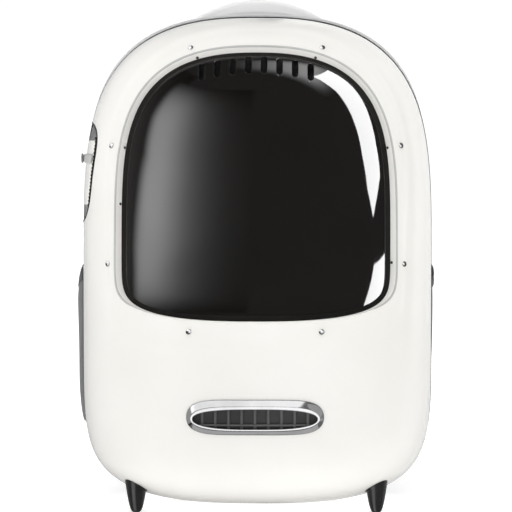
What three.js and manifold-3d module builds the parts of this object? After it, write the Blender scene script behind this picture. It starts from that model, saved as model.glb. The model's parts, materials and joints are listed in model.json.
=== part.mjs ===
// A hard-shelled pet carrier backpack standing on four short feet. A glossy white front shell with a
// smoky bubble window meets a light grey rear shell along a zip seam; the back carries a pad and straps.
import * as THREE from 'three';
import { mergeVertices } from 'three/addons/utils/BufferGeometryUtils.js';
import Module from 'manifold-3d';

// Sizes in millimetres. The window faces -Y, the feet stand on z = 0 and the seam lies in the plane y = 0.
const SECTORS = 48;
const GAP = 0.3;
const WALL = 2.6;
const BODY = {
  halfWidth: 153.7, widestZ: 190, bottomDrop: 188.5,
  sideExponent: 2.6, topExponent: 4.2, bottomExponent: 7,
};
const FRONT = {
  facing: -1, edgeY: -1.5, topRise: 240, depth: 132, deepestZ: 120,
  upExponent: 2.4, downExponent: 4, depthExponent: 2.2, planExponent: 2.6,
};
const REAR = {
  facing: 1, edgeY: 1.5, topRise: 242.5, depth: 90.5, deepestZ: 190,
  upExponent: 2.8, downExponent: 5, depthExponent: 2, planExponent: 3.2,
};
const BACK = { rings: 9, panelRings: 5, panelGap: 0.003 };
const WINDOW = {
  halfWidth: 120.4, widestZ: 236, topRise: 167.6, bottomDrop: 65.5,
  sideExponent: 2.5, topExponent: 3.6, bottomExponent: 6.5,
};
const LIP = { depth: 8, thickness: 2.5 };
const DOME = { wall: 2.5, flange: 5, bulge: 4, roundness: 3.5, centreZ: 270 };
const SLOTS = { count: 8, pitch: 13.35, width: 5.1, length: 14.5, middleZ: 387, endDrop: 6.3 };
const RIVET = { radius: 2.6, height: 1.9 };
const RIVET_PLACES = [
  { x: -57, z: 402.5 }, { x: 57, z: 402.5 }, { x: -124.5, z: 318 }, { x: 124.5, z: 318 },
  { x: -127, z: 217 }, { x: 127, z: 217 }, { x: -56, z: 162 }, { x: 56, z: 162 },
];
const GRILLE = {
  outer: { halfWidth: 58, halfHeight: 15, z: 90.2, endExponent: 6 },
  inner: { halfWidth: 52.2, halfHeight: 8.3, z: 88.8, endExponent: 3 },
  hole: { halfWidth: 55, halfHeight: 11.5, z: 89.5, endExponent: 4 },
  proud: 3.2, exponent: 2.2, louvreSink: 3.2, louvreWall: 2,
  ribs: 9, ribPitch: 11.2, ribWidth: 2.6, ribRise: 2,
};
const SEAM = { proud: 1.3, width: 5.4, halfThickness: 1.2 };
const HANDLE = {
  y: 46, width: 22, bevel: 3, outerHalf: 62, outerTop: 448, outerRise: 20,
  innerHalf: 42, innerTop: 437, innerRise: 7, rootZ: 375,
};
const ZIP_BAY = {
  z: 294, halfHeight: 43.5, depth: 58.5, exponent: 4,
  cloth: [-1.6, -3], flap: [0.2, -1.3], teeth: [0.3, -1.3], slider: [2, 0.6],
};
const POCKET = {
  frontY: 7, backY: 76, bottomZ: 72, topZ: 211, mouthDip: 11,
  gap: 0.6, wall: 2, bulge: 10, hemHeight: 14, hemWall: 1,
};
const FOOT = { x: 104, frontY: -69, rearY: 56, tipRadius: 2.8, topRadius: 9.7, rootZ: 60 };
const PAD = {
  halfWidth: 106, widestZ: 200, topRise: 146, bottomDrop: 146, exponent: 4,
  edge: 4, thick: 10, gap: 0.7,
};
const STRAP = {
  topX: 50, topZ: 322, bottomX: 72, bottomZ: 80, topWidth: 52, bottomWidth: 40,
  thick: 7, gap: 1, bow: 27.5, steps: 18,
};

// Rounded shapes

const power = (value, exponent) => Math.pow(Math.max(value, 0), exponent);
const mix = (from, to, share) => from + (to - from) * share;

// A point of an upright superellipse whose upper and lower halves differ; turn 0 is the top, 0.25 is +X.
function ovalPoint(oval, turn) {
  const across = Math.sin(turn * 2 * Math.PI);
  const upward = Math.cos(turn * 2 * Math.PI);
  const reach = upward > 0 ? oval.topRise : -oval.bottomDrop;
  const exponent = upward > 0 ? oval.topExponent : oval.bottomExponent;
  return new THREE.Vector2(
    oval.halfWidth * Math.sign(across) * power(Math.abs(across), 2 / oval.sideExponent),
    oval.widestZ + reach * power(Math.abs(upward), 2 / exponent),
  );
}

// The same oval as evenly spaced points.
function ovalRing(oval, count) {
  const samples = 2880;
  const fine = Array.from({ length: samples + 1 }, (_, i) => ovalPoint(oval, i / samples));
  const lengths = [0];
  for (let i = 1; i <= samples; i += 1) {
    lengths.push(lengths[i - 1] + fine[i].distanceTo(fine[i - 1]));
  }
  const ring = [];
  let i = 1;
  for (let k = 0; k < count; k += 1) {
    const wanted = lengths[samples] * k / count;
    while (lengths[i] < wanted) i += 1;
    const share = (wanted - lengths[i - 1]) / (lengths[i] - lengths[i - 1]);
    ring.push(fine[i - 1].clone().lerp(fine[i], share));
  }
  return ring;
}

// Moves each point of a ring outwards along the ring's own normal.
function growRing(ring, distance) {
  return ring.map((point, k) => {
    const before = ring[(k + ring.length - 1) % ring.length];
    const after = ring[(k + 1) % ring.length];
    const along = after.clone().sub(before).normalize();
    return new THREE.Vector2(point.x - along.y * distance, point.y + along.x * distance);
  });
}

const outlineOf = (shell) => ({ ...BODY, topRise: shell.topRise });

function halfWidthAt(shell, z) {
  const up = z > BODY.widestZ;
  const reach = up ? shell.topRise : BODY.bottomDrop;
  const level = Math.abs(z - BODY.widestZ) / reach;
  const exponent = up ? BODY.topExponent : BODY.bottomExponent;
  return BODY.halfWidth * power(1 - power(level, exponent), 1 / BODY.sideExponent);
}

function depthAt(shell, z) {
  const up = z > shell.deepestZ;
  const end = up ? BODY.widestZ + shell.topRise : BODY.widestZ - BODY.bottomDrop;
  const level = (z - shell.deepestZ) / (end - shell.deepestZ);
  const exponent = up ? shell.upExponent : shell.downExponent;
  return shell.depth * power(1 - power(level, exponent), 1 / shell.depthExponent);
}

// The outer face of a shell, as y over the front view and as x over the side view.
function faceY(shell, x, z) {
  const width = halfWidthAt(shell, z);
  const across = width > 0 ? Math.abs(x) / width : 1;
  const bow = power(1 - power(across, shell.planExponent), 1 / shell.planExponent);
  return shell.edgeY + shell.facing * depthAt(shell, z) * bow;
}

function sideX(shell, y, z) {
  const inward = Math.abs(y - shell.edgeY) / depthAt(shell, z);
  return halfWidthAt(shell, z) * power(1 - power(inward, shell.planExponent), 1 / shell.planExponent);
}

// A point at a height over the outer face, measured along the face's normal.
function overFace(shell, x, z, height) {
  const step = 0.2;
  const slopeX = (faceY(shell, x + step, z) - faceY(shell, x - step, z)) / (2 * step);
  const slopeZ = (faceY(shell, x, z + step) - faceY(shell, x, z - step)) / (2 * step);
  const normal = new THREE.Vector3(-slopeX, 1, -slopeZ).normalize().multiplyScalar(shell.facing);
  return new THREE.Vector3(x, faceY(shell, x, z), z).addScaledVector(normal, height);
}

function overSide(shell, side, y, z, height) {
  const step = 0.2;
  const slopeY = (sideX(shell, y + step, z) - sideX(shell, y - step, z)) / (2 * step);
  const slopeZ = (sideX(shell, y, z + step) - sideX(shell, y, z - step)) / (2 * step);
  const normal = new THREE.Vector3(side, -slopeY, -slopeZ).normalize();
  return new THREE.Vector3(side * sideX(shell, y, z), y, z).addScaledVector(normal, height);
}

// Closed meshes

function solidFrom(points, faces) {
  let volume = 0;
  for (const [a, b, c] of faces) volume += points[a].dot(points[b].clone().cross(points[c]));
  const outward = volume > 0 ? faces : faces.map(([a, b, c]) => [a, c, b]);
  const geometry = new THREE.BufferGeometry();
  geometry.setAttribute('position', new THREE.Float32BufferAttribute(points.flatMap((p) => p.toArray()), 3));
  geometry.setIndex(outward.flat());
  return geometry;
}

const quad = (a, b, c, d) => [[a, b, c], [a, c, d]];

// Joins closed profiles all the way round a loop.
function loopSolid(profiles) {
  const count = profiles[0].length;
  const faces = [];
  for (let k = 0; k < profiles.length; k += 1) {
    const next = (k + 1) % profiles.length;
    for (let m = 0; m < count; m += 1) {
      const n = (m + 1) % count;
      faces.push(...quad(k * count + m, next * count + m, next * count + n, k * count + n));
    }
  }
  return solidFrom(profiles.flat(), faces);
}

// Joins closed profiles from a first flat end to a last one.
function sweepSolid(profiles) {
  const count = profiles[0].length;
  const faces = [];
  for (let k = 0; k + 1 < profiles.length; k += 1) {
    for (let m = 0; m < count; m += 1) {
      const n = (m + 1) % count;
      faces.push(...quad(k * count + m, (k + 1) * count + m, (k + 1) * count + n, k * count + n));
    }
  }
  const last = (profiles.length - 1) * count;
  for (let m = 1; m + 1 < count; m += 1) {
    faces.push([0, m, m + 1], [last, last + m + 1, last + m]);
  }
  return solidFrom(profiles.flat(), faces);
}

// A slab between two discs: pointAt(share, sector, top) gives both, from the centre out to the rim.
function discSolid(sectors, rings, pointAt) {
  const points = [];
  const faces = [];
  const index = (ring, sector, top) => {
    const start = top ? 0 : 1 + rings * sectors;
    return ring === 0 ? start : start + 1 + (ring - 1) * sectors + (sector % sectors);
  };
  for (const top of [true, false]) {
    points.push(pointAt(0, 0, top));
    for (let ring = 1; ring <= rings; ring += 1) {
      for (let sector = 0; sector < sectors; sector += 1) points.push(pointAt(ring / rings, sector, top));
    }
    for (let sector = 0; sector < sectors; sector += 1) {
      const fan = [index(0, 0, top), index(1, sector, top), index(1, sector + 1, top)];
      faces.push(top ? fan : fan.reverse());
      for (let ring = 1; ring < rings; ring += 1) {
        const corners = [
          index(ring, sector, top), index(ring + 1, sector, top),
          index(ring + 1, sector + 1, top), index(ring, sector + 1, top),
        ];
        faces.push(...quad(...(top ? corners : corners.reverse())));
      }
    }
  }
  for (let sector = 0; sector < sectors; sector += 1) {
    faces.push(...quad(
      index(rings, sector, true), index(rings, sector, false),
      index(rings, sector + 1, false), index(rings, sector + 1, true),
    ));
  }
  return solidFrom(points, faces);
}

// A slab between two rectangular sheets: pointAt(row share, column share, top) gives both.
function sheetSolid(rows, columns, pointAt) {
  const profiles = [];
  for (let row = 0; row <= rows; row += 1) {
    const over = [];
    const under = [];
    for (let column = 0; column <= columns; column += 1) {
      over.push(pointAt(row / rows, column / columns, true));
      under.unshift(pointAt(row / rows, column / columns, false));
    }
    profiles.push([...over, ...under]);
  }
  const count = 2 * (columns + 1);
  const points = profiles.flat();
  const faces = [];
  for (let row = 0; row < rows; row += 1) {
    for (let m = 0; m < count; m += 1) {
      const n = (m + 1) % count;
      faces.push(...quad(row * count + m, (row + 1) * count + m, (row + 1) * count + n, row * count + n));
    }
  }
  const last = rows * count;
  for (let column = 0; column < columns; column += 1) {
    const under = count - 1 - column;
    faces.push(...quad(column, column + 1, under - 1, under));
    faces.push(...quad(last + column, last + under, last + under - 1, last + column + 1));
  }
  return solidFrom(points, faces);
}

// Cutting and joining

const wasm = await Module();
wasm.setup();

function toManifold(geometry) {
  const bare = geometry.clone();
  bare.deleteAttribute('normal');
  bare.deleteAttribute('uv');
  const merged = mergeVertices(bare, 1e-4);
  return new wasm.Manifold(new wasm.Mesh({
    numProp: 3,
    vertProperties: new Float32Array(merged.attributes.position.array),
    triVerts: new Uint32Array(merged.index.array),
  }));
}

function toGeometry(manifold) {
  const mesh = manifold.getMesh();
  const geometry = new THREE.BufferGeometry();
  geometry.setAttribute('position', new THREE.BufferAttribute(new Float32Array(mesh.vertProperties), 3));
  geometry.setIndex([...mesh.triVerts]);
  return geometry;
}

function cut(geometry, tools) {
  return toGeometry(tools.reduce((rest, tool) => rest.subtract(toManifold(tool)), toManifold(geometry)));
}

function join(geometries) {
  return toGeometry(geometries.map(toManifold).reduce((whole, piece) => whole.add(piece)));
}

// The space that a shell takes up, filled and grown by a clearance: what rests on the shell is cut by it.
function shellBlock(shell, clearance) {
  const sectors = 144;
  const rim = ovalRing(outlineOf(shell), sectors);
  const grown = growRing(rim, clearance);
  return discSolid(sectors, 24, (share, sector, top) => {
    const reach = 1 - (1 - share) ** 2;
    const x = rim[sector].x * reach;
    const z = mix(BODY.widestZ, rim[sector].y, reach);
    if (share < 1 && top) return overFace(shell, x, z, clearance);
    const edge = share < 1 ? new THREE.Vector2(x, z) : grown[sector];
    return new THREE.Vector3(edge.x, top ? shell.edgeY : shell.edgeY - shell.facing, edge.y);
  });
}

// The two shells and the seam

// The zip bay's edge, as a distance forward of the seam at each height.
function zipBayDepth(z, grow) {
  const level = Math.abs(z - ZIP_BAY.z) / (ZIP_BAY.halfHeight + grow);
  return (ZIP_BAY.depth + grow) * power(1 - power(level, ZIP_BAY.exponent), 1 / ZIP_BAY.exponent);
}

function zipBayCutter() {
  const steps = 14;
  const section = [];
  for (let k = 0; k <= steps; k += 1) {
    const angle = Math.PI * k / steps;
    const y = ZIP_BAY.depth * power(Math.sin(angle), 2 / ZIP_BAY.exponent);
    const rise = Math.sign(Math.cos(angle)) * power(Math.abs(Math.cos(angle)), 2 / ZIP_BAY.exponent);
    section.push([FRONT.edgeY - y, ZIP_BAY.z + ZIP_BAY.halfHeight * rise]);
  }
  for (const end of [-1, 1]) section.push([FRONT.edgeY + 2, ZIP_BAY.z + end * ZIP_BAY.halfHeight]);
  return sweepSolid([-190, -118].map((x) => section.map(([y, z]) => new THREE.Vector3(x, y, z))));
}

function grilleRing(size, count) {
  return ovalRing({
    halfWidth: size.halfWidth, widestZ: size.z, topRise: size.halfHeight, bottomDrop: size.halfHeight,
    sideExponent: size.endExponent, topExponent: GRILLE.exponent, bottomExponent: GRILLE.exponent,
  }, count);
}

function grilleHoleCutter() {
  const ring = grilleRing(GRILLE.hole, 32);
  return sweepSolid([-150, -105].map((y) => ring.map((p) => new THREE.Vector3(p.x, y, p.y))));
}

// Each sector's profile runs from the seam over the face to the window, round the lip and back inside.
function frontShell() {
  const sectors = SECTORS;
  const steps = 11;
  const inner = ovalRing(WINDOW, sectors);
  const outer = ovalRing(outlineOf(FRONT), sectors);
  const grid = [];
  for (let step = 0; step <= steps; step += 1) {
    const reach = 1 - (1 - step / steps) ** 2;
    grid.push(inner.map((from, k) => {
      const at = from.clone().lerp(outer[k], reach);
      return new THREE.Vector3(at.x, step === steps ? FRONT.edgeY : faceY(FRONT, at.x, at.y), at.y);
    }));
  }
  const normalAt = (step, k) => {
    const along = grid[step][(k + 1) % sectors].clone().sub(grid[step][(k + sectors - 1) % sectors]);
    const away = grid[Math.min(step + 1, steps)][k].clone().sub(grid[Math.max(step - 1, 0)][k]);
    return along.cross(away).normalize();
  };
  const sink = (point, normal, depth) => point.clone().addScaledVector(normal, -depth);
  const profiles = inner.map((from, k) => {
    const face = grid.map((ring) => ring[k]).reverse();
    const normal = normalAt(0, k);
    const back = from.clone().add(outer[k].clone().sub(from).setLength(LIP.thickness));
    const root = new THREE.Vector3(back.x, faceY(FRONT, back.x, back.y), back.y);
    const inside = [];
    for (let step = 1; step <= steps; step += 1) {
      inside.push(sink(grid[step][k], normalAt(step, k), WALL));
    }
    const lip = [sink(grid[0][k], normal, LIP.depth), sink(root, normal, LIP.depth)];
    return [...face, ...lip, sink(root, normal, WALL), ...inside];
  });
  return cut(loopSolid(profiles), [grilleHoleCutter(), zipBayCutter()]);
}

// The rear shell's outer or inner face, from the middle of the back at ring 0 to the seam at the last ring.
function rearFace(sectors) {
  const rim = ovalRing(outlineOf(REAR), sectors);
  const inset = growRing(rim, -WALL);
  return (ring, sector, outside, trim = 0) => {
    const reach = 1 - (1 - ring / BACK.rings) ** 2 - trim;
    const edge = outside ? rim[sector] : inset[sector];
    const x = edge.x * reach;
    const z = mix(BODY.widestZ, edge.y, reach);
    if (ring === BACK.rings) return new THREE.Vector3(x, REAR.edgeY, z);
    return outside ? new THREE.Vector3(x, faceY(REAR, x, z), z) : overFace(REAR, x, z, -WALL);
  };
}

// Half of the rear shell's wall, from the top round one side to the bottom.
function rearShell(side) {
  const sectors = 44;
  const half = sectors / 2;
  const columns = BACK.rings - BACK.panelRings;
  const pointAt = rearFace(sectors);
  return sheetSolid(half, columns, (down, out, top) => {
    const step = Math.round(down * half);
    const sector = side > 0 ? step : (sectors - step) % sectors;
    const point = pointAt(BACK.panelRings + Math.round(out * columns), sector, top);
    if (step === 0 || step === half) point.x = side * GAP / 2;
    return point;
  });
}

// The panel that closes the rear shell and carries the pad.
function backPanel() {
  const sectors = 44;
  const pointAt = rearFace(sectors);
  return discSolid(sectors, BACK.panelRings, (share, sector, top) => {
    const ring = Math.round(share * BACK.panelRings);
    return pointAt(ring, sector, top, ring === BACK.panelRings ? BACK.panelGap : 0);
  });
}

function seamZip() {
  const ring = ovalRing(outlineOf(FRONT), SECTORS);
  const outer = growRing(ring, SEAM.proud);
  const inner = growRing(ring, SEAM.proud - SEAM.width);
  return loopSolid(ring.map((_, k) => [
    new THREE.Vector3(outer[k].x, -SEAM.halfThickness, outer[k].y),
    new THREE.Vector3(outer[k].x, SEAM.halfThickness, outer[k].y),
    new THREE.Vector3(inner[k].x, SEAM.halfThickness, inner[k].y),
    new THREE.Vector3(inner[k].x, -SEAM.halfThickness, inner[k].y),
  ]));
}

// The window and its fittings

function slotCutter(index) {
  const offset = index - (SLOTS.count - 1) / 2;
  const x = offset * SLOTS.pitch;
  const z = SLOTS.middleZ - SLOTS.endDrop * (offset / ((SLOTS.count - 1) / 2)) ** 2;
  const straight = SLOTS.length - SLOTS.width;
  const shape = new THREE.Shape();
  shape.absarc(x, z + straight / 2, SLOTS.width / 2, 0, Math.PI);
  shape.absarc(x, z - straight / 2, SLOTS.width / 2, Math.PI, 2 * Math.PI);
  const blade = new THREE.ExtrudeGeometry(shape, { depth: 80, bevelEnabled: false, curveSegments: 3 });
  return blade.rotateX(Math.PI / 2).translate(0, -40, 0);
}

// The dome rises from a flat flange behind the lip; its last ring of points but one is the window's edge.
function windowDome() {
  const sectors = SECTORS;
  const rings = 6;
  const edge = ovalRing(WINDOW, sectors);
  const flange = growRing(edge, DOME.flange);
  const seat = LIP.depth + 2 * GAP;
  const dome = discSolid(sectors, rings, (share, sector, top) => {
    const reach = 1 - power(1 - share * rings / (rings - 1), 1.6);
    const x = share === 1 ? flange[sector].x : edge[sector].x * reach;
    const z = share === 1 ? flange[sector].y : mix(DOME.centreZ, edge[sector].y, reach);
    const rise = DOME.bulge * (1 - power(reach, DOME.roundness));
    return overFace(FRONT, x, z, rise - seat - (top ? 0 : DOME.wall));
  });
  return cut(dome, Array.from({ length: SLOTS.count }, (_, index) => slotCutter(index)));
}

function rivet({ x, z }) {
  const profile = [[0, 0], [RIVET.radius, 0], [RIVET.radius * 0.8, RIVET.height * 0.6], [0, RIVET.height]];
  const geometry = new THREE.LatheGeometry(profile.map(([r, h]) => new THREE.Vector2(r, h)), 10);
  const foot = overFace(FRONT, x, z, GAP);
  const axis = overFace(FRONT, x, z, 1 + GAP).sub(foot).normalize();
  const turn = new THREE.Quaternion().setFromUnitVectors(new THREE.Vector3(0, 1, 0), axis);
  return geometry.applyQuaternion(turn).translate(foot.x, foot.y, foot.z);
}

function grilleFrame() {
  const count = 40;
  const outer = grilleRing(GRILLE.outer, count);
  const inner = grilleRing(GRILLE.inner, count);
  const section = [[0, GAP], [0, 1.6], [0.3, GRILLE.proud], [0.75, GRILLE.proud], [1, 1.4], [1, GAP]];
  return loopSolid(outer.map((from, k) => section.map(([share, height]) => {
    const at = from.clone().lerp(inner[k], share);
    return overFace(FRONT, at.x, at.y, height);
  })));
}

// A curved plate with upright ribs, set just inside the hole in the shell.
function grilleLouvre() {
  const end = GRILLE.hole.halfWidth - 1.5;
  const columns = [{ x: -end, rise: 0 }];
  for (let index = 0; index < GRILLE.ribs; index += 1) {
    const x = (index - (GRILLE.ribs - 1) / 2) * GRILLE.ribPitch;
    columns.push(
      { x: x - GRILLE.ribWidth / 2, rise: 0 }, { x: x - GRILLE.ribWidth / 4, rise: GRILLE.ribRise },
      { x: x + GRILLE.ribWidth / 4, rise: GRILLE.ribRise }, { x: x + GRILLE.ribWidth / 2, rise: 0 },
    );
  }
  columns.push({ x: end, rise: 0 });
  const last = columns.length - 1;
  return sheetSolid(2, last, (up, across, top) => {
    const { x, rise } = columns[Math.round(across * last)];
    const level = Math.abs(x) / GRILLE.hole.halfWidth;
    const narrowing = power(1 - power(level, GRILLE.hole.endExponent), 1 / GRILLE.exponent);
    const half = GRILLE.hole.halfHeight * narrowing - 2 * GAP;
    const height = top ? rise : -GRILLE.louvreWall;
    return overFace(FRONT, x, GRILLE.hole.z + half * (2 * up - 1), height - GRILLE.louvreSink);
  });
}

// The zip bay on the left

// Each piece lies between two heights over the shell's side, so the cloth fills the opening almost flush.
const bayPoint = (y, z, heights, top) => overSide(FRONT, -1, y, z, heights[top ? 0 : 1]);

function zipGusset() {
  const half = ZIP_BAY.halfHeight - GAP;
  return sheetSolid(9, 4, (up, along, top) => {
    const z = ZIP_BAY.z + half * mix(-0.985, 0.985, up);
    const y = mix(FRONT.edgeY - 0.8, FRONT.edgeY - zipBayDepth(z, -2 * GAP), along);
    return bayPoint(y, z, ZIP_BAY.cloth, top);
  });
}

function zipFlap() {
  return sheetSolid(8, 5, (up, along, top) => {
    const z = mix(ZIP_BAY.z - 28, ZIP_BAY.z + 28, up);
    const y = mix(FRONT.edgeY - 5, FRONT.edgeY - zipBayDepth(z, 0) + 7, along);
    return bayPoint(y, z, ZIP_BAY.flap, top);
  });
}

function zipTeeth() {
  return sheetSolid(9, 1, (up, along, top) => {
    const z = mix(ZIP_BAY.z - 29, ZIP_BAY.z + 31, up);
    const y = FRONT.edgeY - zipBayDepth(z, 0) + mix(3, 6, along);
    return bayPoint(y, z, ZIP_BAY.teeth, top);
  });
}

function zipSlider() {
  const z = ZIP_BAY.z + 12;
  const bar = sheetSolid(2, 6, (up, along, top) => {
    const y = mix(FRONT.edgeY - 5.5, FRONT.edgeY - 42, along);
    return bayPoint(y, z + mix(-4, 4, up), ZIP_BAY.slider, top);
  });
  const knob = new THREE.CylinderGeometry(3.2, 4, 4.4, 14).rotateZ(Math.PI / 2);
  const seat = overSide(FRONT, -1, FRONT.edgeY - 10, z, 2.9);
  return join([bar, knob.translate(seat.x, seat.y, seat.z)]);
}

// The handle, feet and soft goods

function arch(half, top, rise, count) {
  const radius = (half * half + rise * rise) / (2 * rise);
  return Array.from({ length: count + 1 }, (_, k) => {
    const x = mix(-half, half, k / count);
    return new THREE.Vector2(x, top - radius + Math.sqrt(radius * radius - x * x));
  });
}

function carryHandle() {
  const outer = arch(HANDLE.outerHalf - HANDLE.bevel, HANDLE.outerTop - HANDLE.bevel, HANDLE.outerRise, 16);
  const inner = arch(HANDLE.innerHalf + HANDLE.bevel, HANDLE.innerTop + HANDLE.bevel, HANDLE.innerRise, 12);
  inner.reverse();
  const shape = new THREE.Shape([
    new THREE.Vector2(outer[0].x, HANDLE.rootZ), ...outer, new THREE.Vector2(-outer[0].x, HANDLE.rootZ),
    new THREE.Vector2(inner[0].x, HANDLE.rootZ), ...inner, new THREE.Vector2(-inner[0].x, HANDLE.rootZ),
  ]);
  const grip = new THREE.ExtrudeGeometry(shape, {
    depth: HANDLE.width - 2 * HANDLE.bevel,
    bevelSize: HANDLE.bevel, bevelThickness: HANDLE.bevel, bevelSegments: 2,
  });
  grip.rotateX(Math.PI / 2).translate(0, HANDLE.y + HANDLE.width / 2 - HANDLE.bevel, 0);
  return cut(grip, [shellBlock(REAR, GAP)]);
}

function foot(shell, side, y) {
  const profile = [
    [0, 0], [FOOT.tipRadius, 0], [FOOT.topRadius * 0.5, 4], [FOOT.topRadius * 0.74, 13],
    [FOOT.topRadius, 27], [FOOT.topRadius, FOOT.rootZ], [0, FOOT.rootZ],
  ];
  const peg = new THREE.LatheGeometry(profile.map(([r, z]) => new THREE.Vector2(r, z)), 12);
  peg.rotateX(Math.PI / 2).translate(side * FOOT.x, y, 0);
  return cut(peg, [shellBlock(shell, GAP)]);
}

// The pocket's slack: none along the stitched front, back and bottom, most at the mouth behind its middle.
function pocketSlack(up, back) {
  const across = power(Math.sin(Math.PI * power(back, 1.8)), 0.7);
  return POCKET.bulge * across * power(Math.sin(Math.PI * up / 2), 0.8);
}

const pocketMouthZ = (back) => POCKET.topZ - POCKET.mouthDip * Math.sin(Math.PI * back);

function sidePocket(side) {
  return sheetSolid(8, 8, (up, back, top) => {
    const y = mix(POCKET.frontY, POCKET.backY, back);
    const z = mix(POCKET.bottomZ, pocketMouthZ(back), up);
    return overSide(REAR, side, y, z, POCKET.gap + pocketSlack(up, back) + (top ? POCKET.wall : 0));
  });
}

function pocketHem(side) {
  const share = POCKET.hemHeight / (POCKET.topZ - POCKET.bottomZ);
  return sheetSolid(2, 8, (up, back, top) => {
    const level = mix(1 - share, 1, up);
    const y = mix(POCKET.frontY, POCKET.backY, back);
    const z = mix(POCKET.bottomZ, pocketMouthZ(back), level);
    const over = POCKET.gap + pocketSlack(level, back) + POCKET.wall + GAP;
    return overSide(REAR, side, y, z, over + (top ? POCKET.hemWall : 0));
  });
}

// The pad's top over the rear shell: full in the middle, thinner towards its rim.
function padHeight(x, z) {
  const across = power(Math.abs(x) / PAD.halfWidth, PAD.exponent);
  const along = power(Math.abs(z - PAD.widestZ) / PAD.topRise, PAD.exponent);
  const share = power(across + along, 1 / PAD.exponent);
  return PAD.gap + mix(PAD.edge, PAD.thick, power(1 - power(share, 6), 0.5));
}

function backPad() {
  const sectors = 36;
  const rim = ovalRing({
    ...PAD, sideExponent: PAD.exponent, topExponent: PAD.exponent, bottomExponent: PAD.exponent,
  }, sectors);
  return discSolid(sectors, 4, (share, sector, top) => {
    const reach = 1 - (1 - share) ** 1.6;
    const x = rim[sector].x * reach;
    const z = mix(PAD.widestZ, rim[sector].y, reach);
    return overFace(REAR, x, z, top ? padHeight(x, z) : PAD.gap);
  });
}

// Each strap leaves the pad near the shoulders, bows away from it and comes back beside the hips.
function shoulderStrap(side) {
  const profiles = [];
  for (let k = 0; k <= STRAP.steps; k += 1) {
    const down = k / STRAP.steps;
    const x = mix(STRAP.topX, STRAP.bottomX, down * down * (3 - 2 * down));
    const z = mix(STRAP.topZ, STRAP.bottomZ, down);
    const half = mix(STRAP.topWidth, STRAP.bottomWidth, down) / 2;
    const away = padHeight(x - half, z) + STRAP.gap + STRAP.bow * power(Math.sin(Math.PI * down), 0.75);
    const middle = faceY(REAR, x, z) + away;
    const section = [[-half, 1.5], [-half + 2, 0], [half - 2, 0], [half, 1.5], [half, STRAP.thick - 1.5],
      [half - 2, STRAP.thick], [-half + 2, STRAP.thick], [-half, STRAP.thick - 1.5]];
    profiles.push(section.map(([across, out]) => new THREE.Vector3(side * (x + across), middle + out, z)));
  }
  return sweepSolid(profiles);
}

// The assembly

const finish = (color, roughness, metalness = 0) => ({ color, roughness, metalness });
const WHITE_GLOSS = finish(0xf4f3ee, 0.18);
const LIGHT_GREY = finish(0xd6d6d6, 0.45);
const SMOKE = finish(0x1c1b1a, 0.06);
const CHROME = finish(0xe2e2e2, 0.12, 1);
const DARK_PLASTIC = finish(0x434345, 0.5);
const DARK_ZIP = finish(0x3a3a3a, 0.7);
const GREY_CLOTH = finish(0x8f8f8d, 0.9);
const DARK_CLOTH = finish(0x4b4c4e, 0.9);
const CHARCOAL = finish(0x36373a, 0.3);

const carrier = new THREE.Group();
carrier.name = 'pet_carrier_backpack';

function place(name, geometry, look) {
  const mesh = new THREE.Mesh(geometry, new THREE.MeshStandardMaterial(look));
  mesh.name = name;
  carrier.add(mesh);
}

place('front_shell', frontShell(), WHITE_GLOSS);
place('back_panel', backPanel(), LIGHT_GREY);
place('seam_zip', seamZip(), DARK_ZIP);
place('window_dome', windowDome(), SMOKE);
RIVET_PLACES.forEach((spot, index) => place(`window_rivet_${index + 1}`, rivet(spot), CHROME));
place('grille_frame', grilleFrame(), CHROME);
place('grille_louvre', grilleLouvre(), DARK_PLASTIC);
place('zip_gusset', zipGusset(), GREY_CLOTH);
place('zip_flap', zipFlap(), WHITE_GLOSS);
place('zip_teeth', zipTeeth(), DARK_ZIP);
place('zip_slider', zipSlider(), LIGHT_GREY);
place('carry_handle', carryHandle(), LIGHT_GREY);
place('back_pad', backPad(), DARK_CLOTH);
for (const [word, side] of [['left', -1], ['right', 1]]) {
  place(`rear_shell_${word}`, rearShell(side), LIGHT_GREY);
  place(`side_pocket_${word}`, sidePocket(side), DARK_CLOTH);
  place(`pocket_hem_${word}`, pocketHem(side), DARK_ZIP);
  place(`foot_front_${word}`, foot(FRONT, side, FOOT.frontY), CHARCOAL);
  place(`foot_rear_${word}`, foot(REAR, side, FOOT.rearY), CHARCOAL);
  place(`shoulder_strap_${word}`, shoulderStrap(side), DARK_CLOTH);
}

export default carrier;
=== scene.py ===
"""A hard-shelled pet carrier backpack in a plain white studio: glossy shells, a smoky bubble window,
chrome fittings, a zip bay and cloth parts. Sizes in the tables are millimetres, and pieces are made
in metres."""
import json
import math
from types import SimpleNamespace as Sizes

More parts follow.
